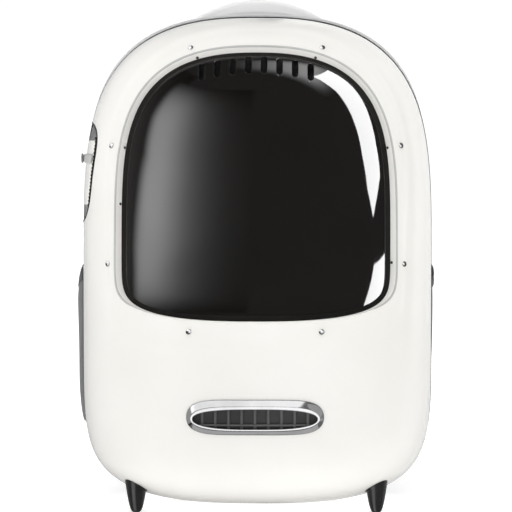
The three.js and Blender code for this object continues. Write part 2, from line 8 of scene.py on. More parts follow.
import bpy
import numpy as np
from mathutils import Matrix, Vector

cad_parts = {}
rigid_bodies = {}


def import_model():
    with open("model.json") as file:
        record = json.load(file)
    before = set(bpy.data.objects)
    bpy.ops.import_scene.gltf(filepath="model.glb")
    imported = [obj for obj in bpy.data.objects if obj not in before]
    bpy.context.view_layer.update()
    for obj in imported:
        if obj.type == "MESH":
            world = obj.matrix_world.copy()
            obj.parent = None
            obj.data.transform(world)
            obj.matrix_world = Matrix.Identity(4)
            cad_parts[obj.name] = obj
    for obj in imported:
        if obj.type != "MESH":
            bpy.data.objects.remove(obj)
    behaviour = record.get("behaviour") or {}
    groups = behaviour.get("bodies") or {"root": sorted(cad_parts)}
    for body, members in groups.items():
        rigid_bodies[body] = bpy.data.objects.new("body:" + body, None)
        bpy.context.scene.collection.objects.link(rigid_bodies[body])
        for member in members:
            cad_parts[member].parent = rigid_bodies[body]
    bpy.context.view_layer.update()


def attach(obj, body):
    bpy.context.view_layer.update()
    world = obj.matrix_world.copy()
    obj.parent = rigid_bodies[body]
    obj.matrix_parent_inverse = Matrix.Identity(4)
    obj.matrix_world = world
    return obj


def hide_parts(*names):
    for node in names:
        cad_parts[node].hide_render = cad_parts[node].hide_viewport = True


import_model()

# Sizes of the object, in millimetres; the window faces -Y and the seam lies in the plane y = 0
MM = 0.001
GAP = 0.3
WALL = 2.6
BODY = Sizes(half_width=153.7, widest_z=190, bottom_drop=188.5, side_exp=2.6, bottom_exp=7)
FRONT = Sizes(
    facing=-1, edge_y=-1.5, top_rise=240, top_exp=4.2, depth=132, deepest_z=120,
    up_exp=2.4, down_exp=4, depth_exp=2.2, plan_exp=2.6,
)
REAR = Sizes(
    facing=1, edge_y=1.5, top_rise=243.8, top_exp=4.45, depth=90.5, deepest_z=190,
    up_exp=2.8, down_exp=5, depth_exp=2, plan_exp=3.2,
)
WINDOW = Sizes(
    half_width=120.4, widest_z=236, top_rise=167.6, bottom_drop=65.5,
    side_exp=2.5, top_exp=3.6, bottom_exp=6.5,
)
LIP = Sizes(
    depth=8, thickness=2.5, radius=1.5, pin_height=1.1, lining=0.12, lining_back=0.3,
    bead_at=0.75, bead_radius=0.95, bead_height=-1.55, bead_sink=1.6, sunk_z=166, sunk_span=28,
)
FLANGE = Sizes(sink=1.0, flat=13, ramp=8, bottom_scale=1.25, bottom_z=150, bottom_span=60)
DOME = Sizes(
    wall=2.5, flange=5, bulge=4, roundness=3.5, centre_z=270,
    border=5.5, top_border=3.4, narrow_z=365, narrow_span=25,
)
SLOTS = Sizes(count=8, pitch=13.35, width=5.1, length=14.5, middle_z=387, end_drop=6.3, chamfer=0.35)
RIVET = Sizes(radius=2.6, height=1.9, edge=0.35)
RIVET_PLACES = [
    (-57, 402.5), (57, 402.5), (-124.5, 318), (124.5, 318),
    (-127, 217), (127, 217), (-56, 162), (56, 162),
]
LIP_PINS = [(-53, 400), (53, 400), (-112, 317), (112, 317), (-118, 269), (118, 219)]
PIN_PROFILE = [(1.25, -1.6), (1.25, 0.35), (1.05, 0.7), (0.6, 0.95), (0.05, 1.0)]
GRILLE = Sizes(
    outer=(58, 15, 90.2, 6), inner=(52.2, 8.3, 88.8, 3), hole=(55, 11.5, 89.5, 4), exponent=2.2,
    louvre_sink=3.2, louvre_wall=2, louvre_end=1.2, ribs=9, rib_pitch=11.2, rib_width=2.6, rib_rise=2,
    sill_half=47.5, sill_z=83.4,
)
# Sections of the grille: its frame as (share of the way in, height), its sill as (rise, height)
FRAME_SECTION = [
    (0.0, 0.15), (0.0, 0.6), (0.02, 0.95), (0.07, 1.25), (0.2, 1.7), (0.35, 2.2), (0.5, 2.65), (0.62, 2.98),
    (0.67, 3.06), (0.7, 3.08), (0.94, 3.08), (0.96, 3.06), (0.99, 2.9), (1.0, 2.6), (1.0, -2.2),
    (0.72, -2.2), (0.55, 0.15),
]
SILL_SECTION = [(-0.7, -3.0), (0.7, -3.0), (0.8, -0.9), (0.4, -0.5), (-0.5, -0.5), (-0.8, -0.9)]
SEAM = Sizes(proud=1.3, width=5.4, half=1.2, teeth=800, notch=0.45, lean=0.35)
# The zip's rounded back as rows of (drop under its crown, share of its half width)
SEAM_SECTION = [(0.55, -1), (0.12, -0.62), (0.0, 0), (0.12, 0.62), (0.55, 1)]
HANDLE = Sizes(outer_half=62, outer_top=448, outer_rise=20, inner_half=42, inner_top=437, inner_rise=7)
# The handle's section as rows of (y, share of the way up, drop under the arch): round the top, then the cove
HANDLE_SECTION = [
    (35.0, 0.5, 0), (35.0, 0.7, 0), (35.4, 0.84, 0), (36.6, 0.94, 0), (39, 0.99, 0), (43, 1, 0), (49, 1, 0),
    (53, 0.99, 0), (55.4, 0.94, 0), (56.6, 0.84, 0), (57, 0.7, 0), (57, 0.3, 0), (56.5, 0.12, 0),
    (55.2, 0.03, 0), (52, 0, 0), (48, 0, 0), (45.6, 0, 1.6), (44.6, 0, 4.0), (43.6, 0, 6.2), (42.4, 0, 7.0),
    (41, 0, 6.7), (39.4, 0, 5.2), (37.8, 0, 3.2), (36.6, 0, 1.4), (35.7, 0, 0.3), (35.1, 0.05, 0),
    (34.9, 0.14, 0), (35.0, 0.3, 0),
]
ZIP_BAY = Sizes(
    z=294, half_height=43.5, depth=58.5, exponent=4,
    cloth=(-1.6, -3), flap=(0.2, -1.3), teeth=(0.3, -1.3), slider=(2, 0.6), piping=0.8,
    flap_half=28, flap_front=5, flap_back=5.4, teeth_low=29, teeth_high=31, teeth_from=2.4, teeth_to=5.0,
    tooth_pitch=3.2, tooth=0.8, slider_z=12, slider_half=4, slider_front=5.5, slider_back=53, knob_at=10,
)
KNOB_PROFILE = [
    (3.6, -0.8), (3.8, 0.2), (3.2, 0.8), (3.1, 1.5), (4.1, 2.1), (4.4, 2.6), (3.9, 3.2), (2.4, 3.4),
]
POCKET = Sizes(
    front_y=7, back_y=76, bottom_z=69, top_z=211, mouth_dip=11, gap=0.4, bulge=10, swell=7.8, hem=14,
    drawn_from=0.82,
)
POCKET_FILL = {
    "left": Sizes(slack=0.85, swell=0.95, wall=2.2, hem=0.4),
    "right": Sizes(slack=0.55, swell=0.0, wall=1.3, hem=1.4),
}
FOOT = Sizes(x=104, front_y=-69, rear_y=56)
FOOT_PROFILE = [
    (0.3, 0), (2.2, 0), (3.1, 0.4), (3.9, 1.1), (4.6, 2.1), (5.4, 4), (6.1, 6.5), (6.8, 9.5),
    (7.5, 13), (8.2, 17), (8.8, 21), (9.4, 25), (9.7, 27),
]
PAD = Sizes(
    half_width=106, widest_z=200, rise=146, exponent=4, edge=4, thick=10, gap=0.7, rim=3.4, slim=1.6,
    held=4.0, channels=(130, 200, 270), channel_half=3.4, channel_depth=3.8, piping=2.0, hem=0.945,
)
STRAP = Sizes(
    top_x=50, top_z=322, bottom_x=72, bottom_z=80, top_width=52, bottom_width=40, thick=7, gap=1, bow=27.5,
    seam=0.84, binding=2.3, box_half=0.66, box_ends=((0.03, 0.13), (0.88, 0.97)),
)
SIDES = (("left", -1), ("right", 1))
BACKWARD = np.array([0.0, 1.0, 0.0])


# Rounded shapes

def power(value, exponent):
    return np.power(np.maximum(value, 0.0), exponent)


def signed_power(value, exponent):
    return np.sign(value) * power(np.abs(value), exponent)


def full_turn(count):
    return np.linspace(0, 2 * np.pi, count, endpoint=False)


def mix(start, end, share):
    return start + (end - start) * share


def smooth(share):
    share = np.clip(share, 0.0, 1.0)
    return share * share * (3 - 2 * share)


def spaced(points, count, closed=False):
    """The same polyline with evenly spaced points."""
    if closed:
        points = np.concatenate([points, points[:1]])
    steps = np.linalg.norm(np.diff(points, axis=0), axis=1)
    length = np.concatenate([[0.0], np.cumsum(steps)])
    wanted = np.linspace(0, length[-1], count, endpoint=not closed)
    return np.stack([np.interp(wanted, length, points[:, axis]) for axis in range(points.shape[1])], axis=1)


def oval_ring(oval, count):
    """An upright superellipse whose upper and lower halves differ, from the top round by +X."""
    turn = full_turn(5760)
    upward = np.cos(turn)
    x = oval.half_width * signed_power(np.sin(turn), 2 / oval.side_exp)
    above = oval.top_rise * power(upward, 2 / oval.top_exp)
    below = oval.bottom_drop * power(-upward, 2 / oval.bottom_exp)
    return spaced(np.stack([x, oval.widest_z + above - below], axis=1), count, closed=True)


def even_oval(half_width, half_height, z, side_exp, end_exp, count):
    """A superellipse whose upper and lower halves are alike."""
    return oval_ring(Sizes(
        half_width=half_width, widest_z=z, top_rise=half_height, bottom_drop=half_height,
        side_exp=side_exp, top_exp=end_exp, bottom_exp=end_exp,
    ), count)


def outline(shell, count):
    return oval_ring(Sizes(**vars(BODY), top_rise=shell.top_rise, top_exp=shell.top_exp), count)


def grow_ring(ring, distance):
    along = unit(np.roll(ring, -1, axis=0) - np.roll(ring, 1, axis=0))
    return ring + distance * np.stack([-along[:, 1], along[:, 0]], axis=1)


def upright(ring, y):
    """The points of a ring drawn in x and z, at a depth."""
    return np.column_stack([ring[:, 0], np.broadcast_to(y, len(ring)), ring[:, 1]])


def half_width_at(shell, z):
    up = z > BODY.widest_z
    level = np.abs(z - BODY.widest_z) / np.where(up, shell.top_rise, BODY.bottom_drop)
    exponent = np.where(up, shell.top_exp, BODY.bottom_exp)
    return BODY.half_width * power(1 - power(level, exponent), 1 / BODY.side_exp)


def depth_at(shell, z):
    up = z > shell.deepest_z
    top = BODY.widest_z + shell.top_rise - shell.deepest_z
    bottom = BODY.widest_z - BODY.bottom_drop - shell.deepest_z
    level = (z - shell.deepest_z) / np.where(up, top, bottom)
    exponent = np.where(up, shell.up_exp, shell.down_exp)
    return shell.depth * power(1 - power(level, exponent), 1 / shell.depth_exp)


def bow_at(shell, share):
    return power(1 - power(share, shell.plan_exp), 1 / shell.plan_exp)


def face_y(shell, x, z):
    share = np.abs(x) / np.maximum(half_width_at(shell, z), 1e-6)
    return shell.edge_y + shell.facing * depth_at(shell, z) * bow_at(shell, share)


def side_x(shell, y, z):
    share = np.abs(y - shell.edge_y) / np.maximum(depth_at(shell, z), 1e-6)
    return half_width_at(shell, z) * bow_at(shell, share)


def unit(vectors):
    return vectors / np.maximum(np.linalg.norm(vectors, axis=-1, keepdims=True), 1e-9)


def slopes(surface, shell, across, z):
    """How a shell's surface leans along its own direction and upwards."""
    step = 0.2
    lean = surface(shell, across + step, z) - surface(shell, across - step, z)
    rise = surface(shell, across, z + step) - surface(shell, across, z - step)
    return lean / (2 * step), rise / (2 * step)


def spread(*values):
    return np.broadcast_arrays(*[np.asarray(value, float) for value in values])


def over_face(shell, x, z, height):
    """Points at a height over the outer face, measured along its normal."""
    x, z, height = spread(x, z, height)
    slope_x, slope_z = slopes(face_y, shell, x, z)
    normal = unit(np.stack([-slope_x, np.ones_like(slope_x), -slope_z], axis=-1)) * shell.facing
    return np.stack([x, face_y(shell, x, z), z], axis=-1) + normal * height[..., None]


def over_side(shell, side, y, z, height):
    """Points at a height over the left or right side, measured along its normal."""
    y, z, height = spread(y, z, height)
    slope_y, slope_z = slopes(side_x, shell, y, z)
    normal = unit(np.stack([np.full_like(slope_y, side), -slope_y, -slope_z], axis=-1))
    return np.stack([side * side_x(shell, y, z), y, z], axis=-1) + normal * height[..., None]


def settle(low, high, below):
    """Closes in on the height, between two levels, up to which a test holds."""
    for _ in range(40):
        middle = (low + high) / 2
        holds = below(middle)
        low, high = np.where(holds, middle, low), np.where(holds, high, middle)
    return low, high


def grid_normals(grid, closed):
    """Normals of a grid of points; its second direction may close on itself."""
    down = np.gradient(grid, axis=0)
    if closed:
        along = np.roll(grid, -1, axis=1) - np.roll(grid, 1, axis=1)
    else:
        along = np.gradient(grid, axis=1)
    return unit(np.cross(down, along))


# Meshes

def add_object(name, data):
    thing = bpy.data.objects.new(name, data)
    bpy.context.scene.collection.objects.link(thing)
    return thing


def make_mesh(name, points, faces, uv=None, sharp=38):
    """A closed mesh piece from points in millimetres, facing out, with smooth shading between sharp edges."""
    points = np.asarray(points, float).reshape(-1, 3)
    tips = np.array([[f[0], f[k], f[k + 1]] for f in faces for k in range(1, len(f) - 1)])
    a, b, c = points[tips[:, 0]], points[tips[:, 1]], points[tips[:, 2]]
    if np.einsum("ij,ij->i", a, np.cross(b, c)).sum() < 0:
        faces = [f[::-1] for f in faces]
    mesh = bpy.data.meshes.new(name)
    mesh.from_pydata((points * MM).tolist(), [], [list(map(int, f)) for f in faces])
    if uv is not None:
        layer = mesh.uv_layers.new(name="UVMap")
        corners = np.zeros(len(mesh.loops), np.int32)
        mesh.loops.foreach_get("vertex_index", corners)
        layer.data.foreach_set("uv", (np.asarray(uv, float).reshape(-1, 2) * MM)[corners].ravel())
    piece = add_object(name, mesh)
    shade(piece, sharp)
    return piece


def shade(piece, sharp):
    mesh = piece.data
    mesh.polygons.foreach_set("use_smooth", np.ones(len(mesh.polygons), bool))
    mesh.set_sharp_from_angle(angle=math.radians(sharp))
    mesh.update()


def loop_faces(rows, columns, close_rows=True, start=0):
    """Quads over a grid whose columns close on themselves, and whose rows may."""
    faces = []
    for row in range(rows if close_rows else rows - 1):
        below = (row + 1) % rows
        for column in range(columns):
            after = (column + 1) % columns
            faces.append((
                start + row * columns + column, start + below * columns + column,
                start + below * columns + after, start + row * columns + after,
            ))
    return faces


def loop_piece(name, profiles, sharp=38):
    """Closed profiles joined all the way round a loop."""
    return make_mesh(name, profiles, loop_faces(len(profiles), len(profiles[0])), sharp=sharp)


def sweep_piece(name, profiles, uv=None, sharp=38):
    """Closed profiles joined from one closed end to the other."""
    rows, columns = len(profiles), len(profiles[0])
    faces = loop_faces(rows, columns, close_rows=False)
    faces.append(tuple(range(columns)))
    faces.append(tuple(range((rows - 1) * columns, rows * columns))[::-1])
    return make_mesh(name, profiles, faces, uv=uv, sharp=sharp)


def disc_piece(name, over, under, sharp=38):
    """A slab between two discs, each given as rings from its middle out to a shared rim."""
    rings, sectors = over.shape[:2]
    points = [over[0, :1], over[1:].reshape(-1, 3), under[0, :1], under[1:].reshape(-1, 3)]
    second = 1 + (rings - 1) * sectors
    faces = []
    for start, flip in ((0, False), (second, True)):
        fan = [(start, start + 1 + k, start + 1 + (k + 1) % sectors) for k in range(sectors)]
        quads = loop_faces(rings - 1, sectors, close_rows=False, start=start + 1)
        faces += [f[::-1] if flip else f for f in fan + quads]
    top_rim = 1 + (rings - 2) * sectors
    low_rim = second + top_rim
    for k in range(sectors):
        after = (k + 1) % sectors
        faces.append((top_rim + k, low_rim + k, low_rim + after, top_rim + after))
    return make_mesh(name, np.concatenate(points), faces, sharp=sharp)


def sheet_piece(name, over, under, sharp=50):
    """A thin slab between two grids of points, with its weave laid along the upper one."""
    rows, columns = over.shape[:2]
    profiles = np.concatenate([over, under[:, ::-1]], axis=1)
    wide = np.cumsum(np.linalg.norm(np.diff(over, axis=1, prepend=over[:, :1]), axis=2), axis=1)
    tall = np.cumsum(np.linalg.norm(np.diff(over, axis=0, prepend=over[:1]), axis=2), axis=0)
    flat = np.stack([wide, tall], axis=-1)
    uv = np.concatenate([flat, flat[:, ::-1]], axis=1)
    faces = loop_faces(rows, 2 * columns, close_rows=False)
    last = (rows - 1) * 2 * columns
    for k in range(columns - 1):
        low = 2 * columns - 1 - k
        faces.append((k, k + 1, low - 1, low))
        faces.append((last + k, last + low, last + low - 1, last + k + 1))
    return make_mesh(name, profiles, faces, uv=uv, sharp=sharp)


def lathe(profile, count):
    """Rings of points round the Z axis from rows of radius and height."""
    turn = full_turn(count)
    circle = np.stack([np.cos(turn), np.sin(turn)], axis=1)
    rings = [np.column_stack([circle * radius, np.full(count, height)]) for radius, height in profile]
    return np.stack(rings)


def turn_to(points, axis):
    """Points built round Z, turned so that Z lies along the axis."""
    spin = Vector((0, 0, 1)).rotation_difference(Vector(axis)).to_matrix()
    return points @ np.array(spin).T


def modify(piece, kind, **settings):
    """Adds a modifier with its settings and applies it."""
    modifier = piece.modifiers.new(kind.lower(), kind)
    for setting, value in settings.items():
        setattr(modifier, setting, value)
    bpy.context.view_layer.objects.active = piece
    with bpy.context.temp_override(object=piece, active_object=piece, selected_objects=[piece]):
        bpy.ops.object.modifier_apply(modifier=modifier.name)


def cut(piece, cutters, sharp=38):
    """Cuts the cutters out of the piece and drops them."""
    for cutter in cutters:
        modify(piece, "BOOLEAN", operation="DIFFERENCE", solver="EXACT", object=cutter)
        bpy.data.objects.remove(cutter)
    shade(piece, sharp)


def dress(piece, material, slot, *nodes):
    """Gives a piece its material and lets it stand for its nodes."""
    piece.data.materials.clear()
    piece.data.materials.append(material)
    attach(piece, "root")
    if nodes:
        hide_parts(*nodes)
    return piece


# Materials

class Nodes:
    """Short ways to add nodes to a tree."""

    def __init__(self, tree):
        self.tree = tree

    def node(self, kind, **inputs):
        node = self.tree.nodes.new("ShaderNode" + kind)
        for socket, value in inputs.items():
            self.feed(node.inputs[socket.replace("_", " ")], value)
        return node

    def feed(self, socket, value):
        if isinstance(value, bpy.types.NodeSocket):
            self.tree.links.new(value, socket)
        else:
            socket.default_value = value

    def math(self, operation, first, second=0.0):
        node = self.node("Math")
        node.operation = operation
        self.feed(node.inputs[0], first)
        self.feed(node.inputs[1], second)
        return node.outputs[0]

    def place(self, kind="Object"):
        return self.node("TexCoord").outputs[kind]

    def split(self, kind):
        return self.node("SeparateXYZ", Vector=self.place(kind)).outputs

    def span(self, value, low, high, start=0.3, end=0.7):
        node = self.node("MapRange", Value=value, From_Min=start, From_Max=end, To_Min=low, To_Max=high)
        return node.outputs[0]


class Paint(Nodes):
    """A material with its main shader and short ways to shape its finish."""

    def __init__(self, name, colour, roughness, **sockets):
        self.material = bpy.data.materials.new(name)
        self.material.use_nodes = True
        super().__init__(self.material.node_tree)
        self.shader = self.tree.nodes["Principled BSDF"]
        self.set("Base Color", (*colour, 1))
        self.set("Roughness", roughness)
        for socket, value in sockets.items():
            self.set(socket.replace("_", " ").title().replace("Ior", "IOR"), value)

    def set(self, socket, value):
        self.feed(self.shader.inputs[socket], value)

    def noise(self, scale, detail=2.0, rough=0.5):
        node = self.node("TexNoise", Vector=self.place(), Scale=scale, Detail=detail, Roughness=rough)
        return node.outputs["Fac"]

    def ramp(self, factor, low, high, start=0.35, end=0.65):
        node = self.node("ValToRGB", Fac=factor)
        first, last = node.color_ramp.elements
        first.position, last.position = start, end
        first.color, last.color = (*low, 1), (*high, 1)
        return node.outputs["Color"]

    def bump(self, height, strength, distance):
        node = self.node("Bump", Height=height, Strength=strength, Distance=distance)
        self.set("Normal", node.outputs["Normal"])


def moulded(name, low, high, rough_low, rough_high, grain, relief,
            drift=9, gloss=38, strength=0.35, **sockets):
    """A moulded or plated surface: a slight drift in colour and gloss, and a fine grain."""
    paint = Paint(name, high, rough_high, **sockets)
    paint.set("Base Color", paint.ramp(paint.noise(drift, 3), low, high))
    paint.set("Roughness", paint.span(paint.noise(gloss, 4), rough_low, rough_high))
    paint.bump(paint.noise(grain, 2), strength, relief)
    return paint.material


def plated(name, colour, rough_low, rough_high):
    dull = [0.93 * c for c in colour]
    return moulded(name, dull, colour, rough_low, rough_high, 420, 0.00005,
                   drift=60, gloss=140, strength=0.1, metallic=1.0)


def woven(name, dark, light, thread, relief=0.00025, along=None):
    """Plain weave: warp and weft threads that pass over each other, with uneven yarn. The crowns of the
    threads are painted lighter and the hollows between them darker, as painted light and shade.
    """
    paint = Paint(name, light, 0.92, sheen_weight=0.25, sheen_roughness=0.5, specular_ior_level=0.25)
    split = paint.split("Object" if along else "UV")
    first, second = [split[axis] for axis in (along or "XY")]
    pulse = math.pi / thread
    warp = paint.math("SINE", paint.math("MULTIPLY", first, pulse))
    weft = paint.math("SINE", paint.math("MULTIPLY", second, pulse))
    over = paint.math("GREATER_THAN", paint.math("MULTIPLY", warp, weft), 0.0)
    under = paint.math("SUBTRACT", 1.0, over)
    warp_height = paint.math("MULTIPLY", paint.math("ABSOLUTE", warp), over)
    weft_height = paint.math("MULTIPLY", paint.math("ABSOLUTE", weft), under)
    height = paint.math("ADD", warp_height, weft_height)
    yarn = paint.math("MULTIPLY", paint.noise(1300, 2), 0.5)
    # Painted light and shade from the threads' height, mixed with the yarn's uneven tone
    shade_and_yarn_tone = paint.math("ADD", paint.math("MULTIPLY", height, 0.45), yarn)
    drift = paint.math("MULTIPLY", paint.noise(30, 3), 0.35)
    paint.set("Base Color", paint.ramp(paint.math("ADD", shade_and_yarn_tone, drift), dark, light, 0.3, 0.95))
    paint.bump(paint.math("ADD", height, yarn), 0.8, relief)
    return paint.material


def smoky(name):
    """Dark acrylic, polished, with a trace of haze."""
    paint = Paint(name, (0.011, 0.0095, 0.0088), 0.03, ior=1.49, transmission_weight=0.35)
    paint.set("Roughness", paint.span(paint.noise(24, 4), 0.022, 0.05))
    dark, light = (0.0095, 0.0085, 0.0078), (0.0135, 0.0115, 0.0105)
    paint.set("Base Color", paint.ramp(paint.noise(6, 2), dark, light))
    return paint.material


def studio_floor(name):
    """A pale floor that glows, faintly near the object and fully further out, so that it runs out into plain
    white; its glow also lights the object from below.
    """
    paint = Paint(name, (0.93, 0.93, 0.93), 0.9, specular_ior_level=0.1)
    paint.set("Base Color", paint.ramp(paint.noise(3, 3), (0.92, 0.92, 0.92), (0.94, 0.94, 0.94)))
    away = paint.node("VectorMath", Vector=paint.place())
    away.operation = "LENGTH"
    paint.set("Emission Color", (1, 1, 1, 1))
    paint.set("Emission Strength", paint.span(away.outputs["Value"], 0.5, 1.0, 0.25, 1.1))
    return paint.material


WHITE = moulded("white_gloss", (0.85, 0.835, 0.8), (0.88, 0.868, 0.835), 0.13, 0.2, 900, 0.00002,
                coat_weight=0.4, coat_roughness=0.06)
# A brighter, duller copy of the shell's white for the lip's wall: painted light that lifts the wall out of
# the shade beside the dark window
LIP_PAINTED_LIGHT_WHITE = moulded("lip_white", (0.91, 0.895, 0.86), (0.94, 0.925, 0.89), 0.55, 0.65, 900, 0.00002,
                    specular_ior_level=0.1)
# Grey that is painted shade on the lip's bead, and the zip slider's own colour
SHADE_BEAD_AND_SLIDER_GREY = moulded("bead_grey", (0.46, 0.46, 0.45), (0.52, 0.52, 0.51), 0.4, 0.5, 1400, 0.00004)
GREY = moulded("light_grey_satin", (0.84, 0.84, 0.84), (0.88, 0.88, 0.88), 0.36, 0.48, 1400, 0.00006)
DARK = moulded("dark_plastic", (0.042, 0.042, 0.043), (0.06, 0.06, 0.061), 0.42, 0.56, 1400, 0.00008)
# A lighter copy of the dark plastic for the grille's ribs and sill: painted light on parts of the one dark
# louvre
PAINTED_LIGHT_DARK_PLASTIC = moulded("rib_plastic", (0.1, 0.1, 0.1), (0.13, 0.13, 0.13), 0.38, 0.5, 1400, 0.00006)
KNOB_GREY = moulded("knob_grey", (0.2, 0.2, 0.2), (0.27, 0.27, 0.27), 0.3, 0.42, 1400, 0.00006)
CHARCOAL = moulded("charcoal_plastic", (0.011, 0.011, 0.012), (0.018, 0.018, 0.019), 0.2, 0.3, 1100, 0.00006)
BORDER = moulded("window_border", (0.010, 0.0094, 0.0085), (0.016, 0.015, 0.0135), 0.45, 0.6, 1400, 0.00004,
                 specular_ior_level=0.12)
CHROME = plated("chrome", (0.86, 0.86, 0.87), 0.06, 0.12)
RIVET_METAL = plated("rivet_nickel", (0.9, 0.9, 0.9), 0.14, 0.22)
SMOKE = smoky("smoky_acrylic")
POCKET_CLOTH = woven("pocket_cloth", (0.06, 0.06, 0.062), (0.2, 0.202, 0.206), 0.0009)
HEM_CLOTH = woven("hem_tape", (0.025, 0.025, 0.027), (0.09, 0.091, 0.094), 0.0006)
BAY_CLOTH = woven("bay_cloth", (0.09, 0.09, 0.09), (0.26, 0.26, 0.255), 0.0007)
PAD_CLOTH = woven("pad_cloth", (0.03, 0.031, 0.033), (0.115, 0.117, 0.122), 0.0016, 0.0004, along="XZ")
THREAD = moulded("thread", (0.2, 0.2, 0.21), (0.29, 0.29, 0.3), 0.6, 0.8, 2600, 0.0001)
ZIP_TEETH = moulded("zip_teeth", (0.008, 0.008, 0.008), (0.014, 0.014, 0.014), 0.4, 0.55, 900, 0.00004,
                    specular_ior_level=0.2)


# The shells

WINDOW_EDGE = oval_ring(WINDOW, 1440)


def flange_offset(x, z, reach=None):
    """How far the shallow flange round the window lies under the shell's own curve."""
    x, z = np.asarray(x, float), np.asarray(z, float)
    if reach is None:
        spots = np.stack([x.ravel(), z.ravel()], axis=1)
        reach = np.array([np.min(np.hypot(*(WINDOW_EDGE - spot).T)) for spot in spots]).reshape(x.shape)
    scale = mix(FLANGE.bottom_scale, 1.0, smooth((z - FLANGE.bottom_z) / FLANGE.bottom_span))
    return -FLANGE.sink * (1 - smooth((reach / scale - FLANGE.flat) / FLANGE.ramp))


def front_profile(start, end, steps):
    """One line over the front face from the window's edge to the seam: close steps first, then even ones."""
    span = np.hypot(*(end - start))

    def rows(share):
        x = mix(start[0], end[0], share)
        z = mix(start[1], end[1], share)
        return np.stack([x, face_y(FRONT, x, z), z, share * span], axis=1)

    near = np.concatenate([np.arange(LIP.radius, 4.6, 0.5), np.arange(6, 12.1, 1.5)])
    far = rows(mix(near[-1] / span, 1.0, 1 - (1 - np.linspace(0, 1, 500)) ** 2.4))
    far[-1, 1] = FRONT.edge_y
    return np.concatenate([rows(near[:-1] / span), spaced(far, steps)])


def front_shell():
    sectors, steps = 300, 46
    inner = oval_ring(WINDOW, sectors)
    outer = outline(FRONT, sectors)
    rows = np.stack([front_profile(a, b, steps) for a, b in zip(inner, outer)], axis=1)
    grid, reach = rows[..., :3], rows[..., 3]
    normal = grid_normals(grid, closed=True)
    if normal[2, 0, 1] > 0:
        normal = -normal
    face = grid + normal * flange_offset(grid[..., 0], grid[..., 2], reach)[..., None]
    edge = over_face(FRONT, inner[:, 0], inner[:, 1], 0)
    inward = unit(edge - grid[0])
    down = -normal[0]
    base = face[0]
    rounding = []
    for angle in np.radians([18, 36, 54, 72, 90]):
        rounding.append(base + inward * LIP.radius * np.sin(angle) + down * LIP.radius * (1 - np.cos(angle)))
    wall = [rounding[-1] + down * depth for depth in (2.0, 4.0, LIP.depth - LIP.radius - 0.6)]
    turn_in = [
        wall[-1] + down * 0.5 - inward * 0.3,
        wall[-1] + down * 0.6 - inward * LIP.thickness,
        wall[0] - inward * LIP.thickness,
    ]
    # A thin sheet over the lip's wall in the brighter white: painted light on a wall that lies in shade
    lining = np.array([*rounding[1:], *wall])
    lining = np.concatenate([lining + inward * LIP.lining, lining[::-1] - inward * LIP.lining_back])
    dress(loop_piece("lip_lining", lining.transpose(1, 0, 2)), LIP_PAINTED_LIGHT_WHITE, "white_shell")
    inside = grid[7:] - normal[7:] * WALL
    rim = grid[-1] - normal[-1] * 0.3
    rim[:, 1] = FRONT.edge_y
    face[-1] = rim
    profiles = np.concatenate([face[::-1], rounding, wall, turn_in, inside])
    piece = loop_piece("shell_front", profiles.transpose(1, 0, 2))
    cut(piece, [grille_cutter(), bay_cutter()])
    dress(piece, WHITE, "white_shell", "front_shell")


def lip_bead():
    """A fine grey bead along the lip's outer edge, whose grey is painted shade for the dark line where the
    edge turns into the wall; it sinks into the shell towards the bottom.
    """
    ring = grow_ring(oval_ring(WINDOW, 480), LIP.bead_at)
    sunk = LIP.bead_sink * (1 - smooth((ring[:, 1] - LIP.sunk_z) / LIP.sunk_span))
    path = over_face(FRONT, ring[:, 0], ring[:, 1], LIP.bead_height - sunk)
    tube("lip_bead", path, (0.0, -1.0, 0.0), LIP.bead_radius, SHADE_BEAD_AND_SLIDER_GREY, "light_grey", closed=True)


def grille_ring(size, count):
    half_width, half_height, z, end_exp = size
    return even_oval(half_width, half_height, z, end_exp, GRILLE.exponent, count)


def grille_cutter():
    ring = grille_ring(GRILLE.hole, 96)
    return sweep_piece("grille_cutter", np.array([upright(ring, y) for y in (-160.0, -100.0)]))


def bay_depth(z, grow=0.0):
    level = np.abs(z - ZIP_BAY.z) / (ZIP_BAY.half_height + grow)
    return (ZIP_BAY.depth + grow) * power(1 - power(level, ZIP_BAY.exponent), 1 / ZIP_BAY.exponent)


def bay_edge(angle, inset):
    """The edge of the zip bay, from its top round its depth to its bottom."""
    y = FRONT.edge_y - (ZIP_BAY.depth - inset) * power(np.sin(angle), 2 / ZIP_BAY.exponent)
    rise = (ZIP_BAY.half_height - inset) * signed_power(np.cos(angle), 2 / ZIP_BAY.exponent)
    return y, ZIP_BAY.z + rise


def bay_cutter():
    y, z = bay_edge(np.linspace(0, np.pi, 60), 0.0)
    y = np.concatenate([y, [FRONT.edge_y + 4, FRONT.edge_y + 4]])
    z = np.concatenate([z, [z[-1], z[0]]])
    profiles = [np.column_stack([np.full(len(y), x), y, z]) for x in (-190.0, -112.0)]
    return sweep_piece("bay_cutter", np.array(profiles))


def rear_shell():
    sectors, rings = 300, 46
    rim = outline(REAR, sectors)
    share = 1 - (1 - np.linspace(0, 1, 500)) ** 2.4
    lines = []
    for edge in rim:
        x = edge[0] * share
        z = mix(BODY.widest_z, edge[1], share)
        y = face_y(REAR, x, z)
        y[-1] = REAR.edge_y
        lines.append(spaced(np.stack([x, y, z], axis=1), rings))
    over = np.stack(lines, axis=1)
    normal = grid_normals(over, closed=True)
    if normal[4, 0, 1] < 0:
        normal = -normal
    normal[0] = (0, 1, 0)
    under = over - normal * WALL
    over[-1] -= normal[-1] * 0.3
    under[-1, :, 1] = REAR.edge_y
    nodes = ("rear_shell_left", "rear_shell_right", "back_panel")
    dress(disc_piece("shell_rear", over, under), GREY, "light_grey", *nodes)


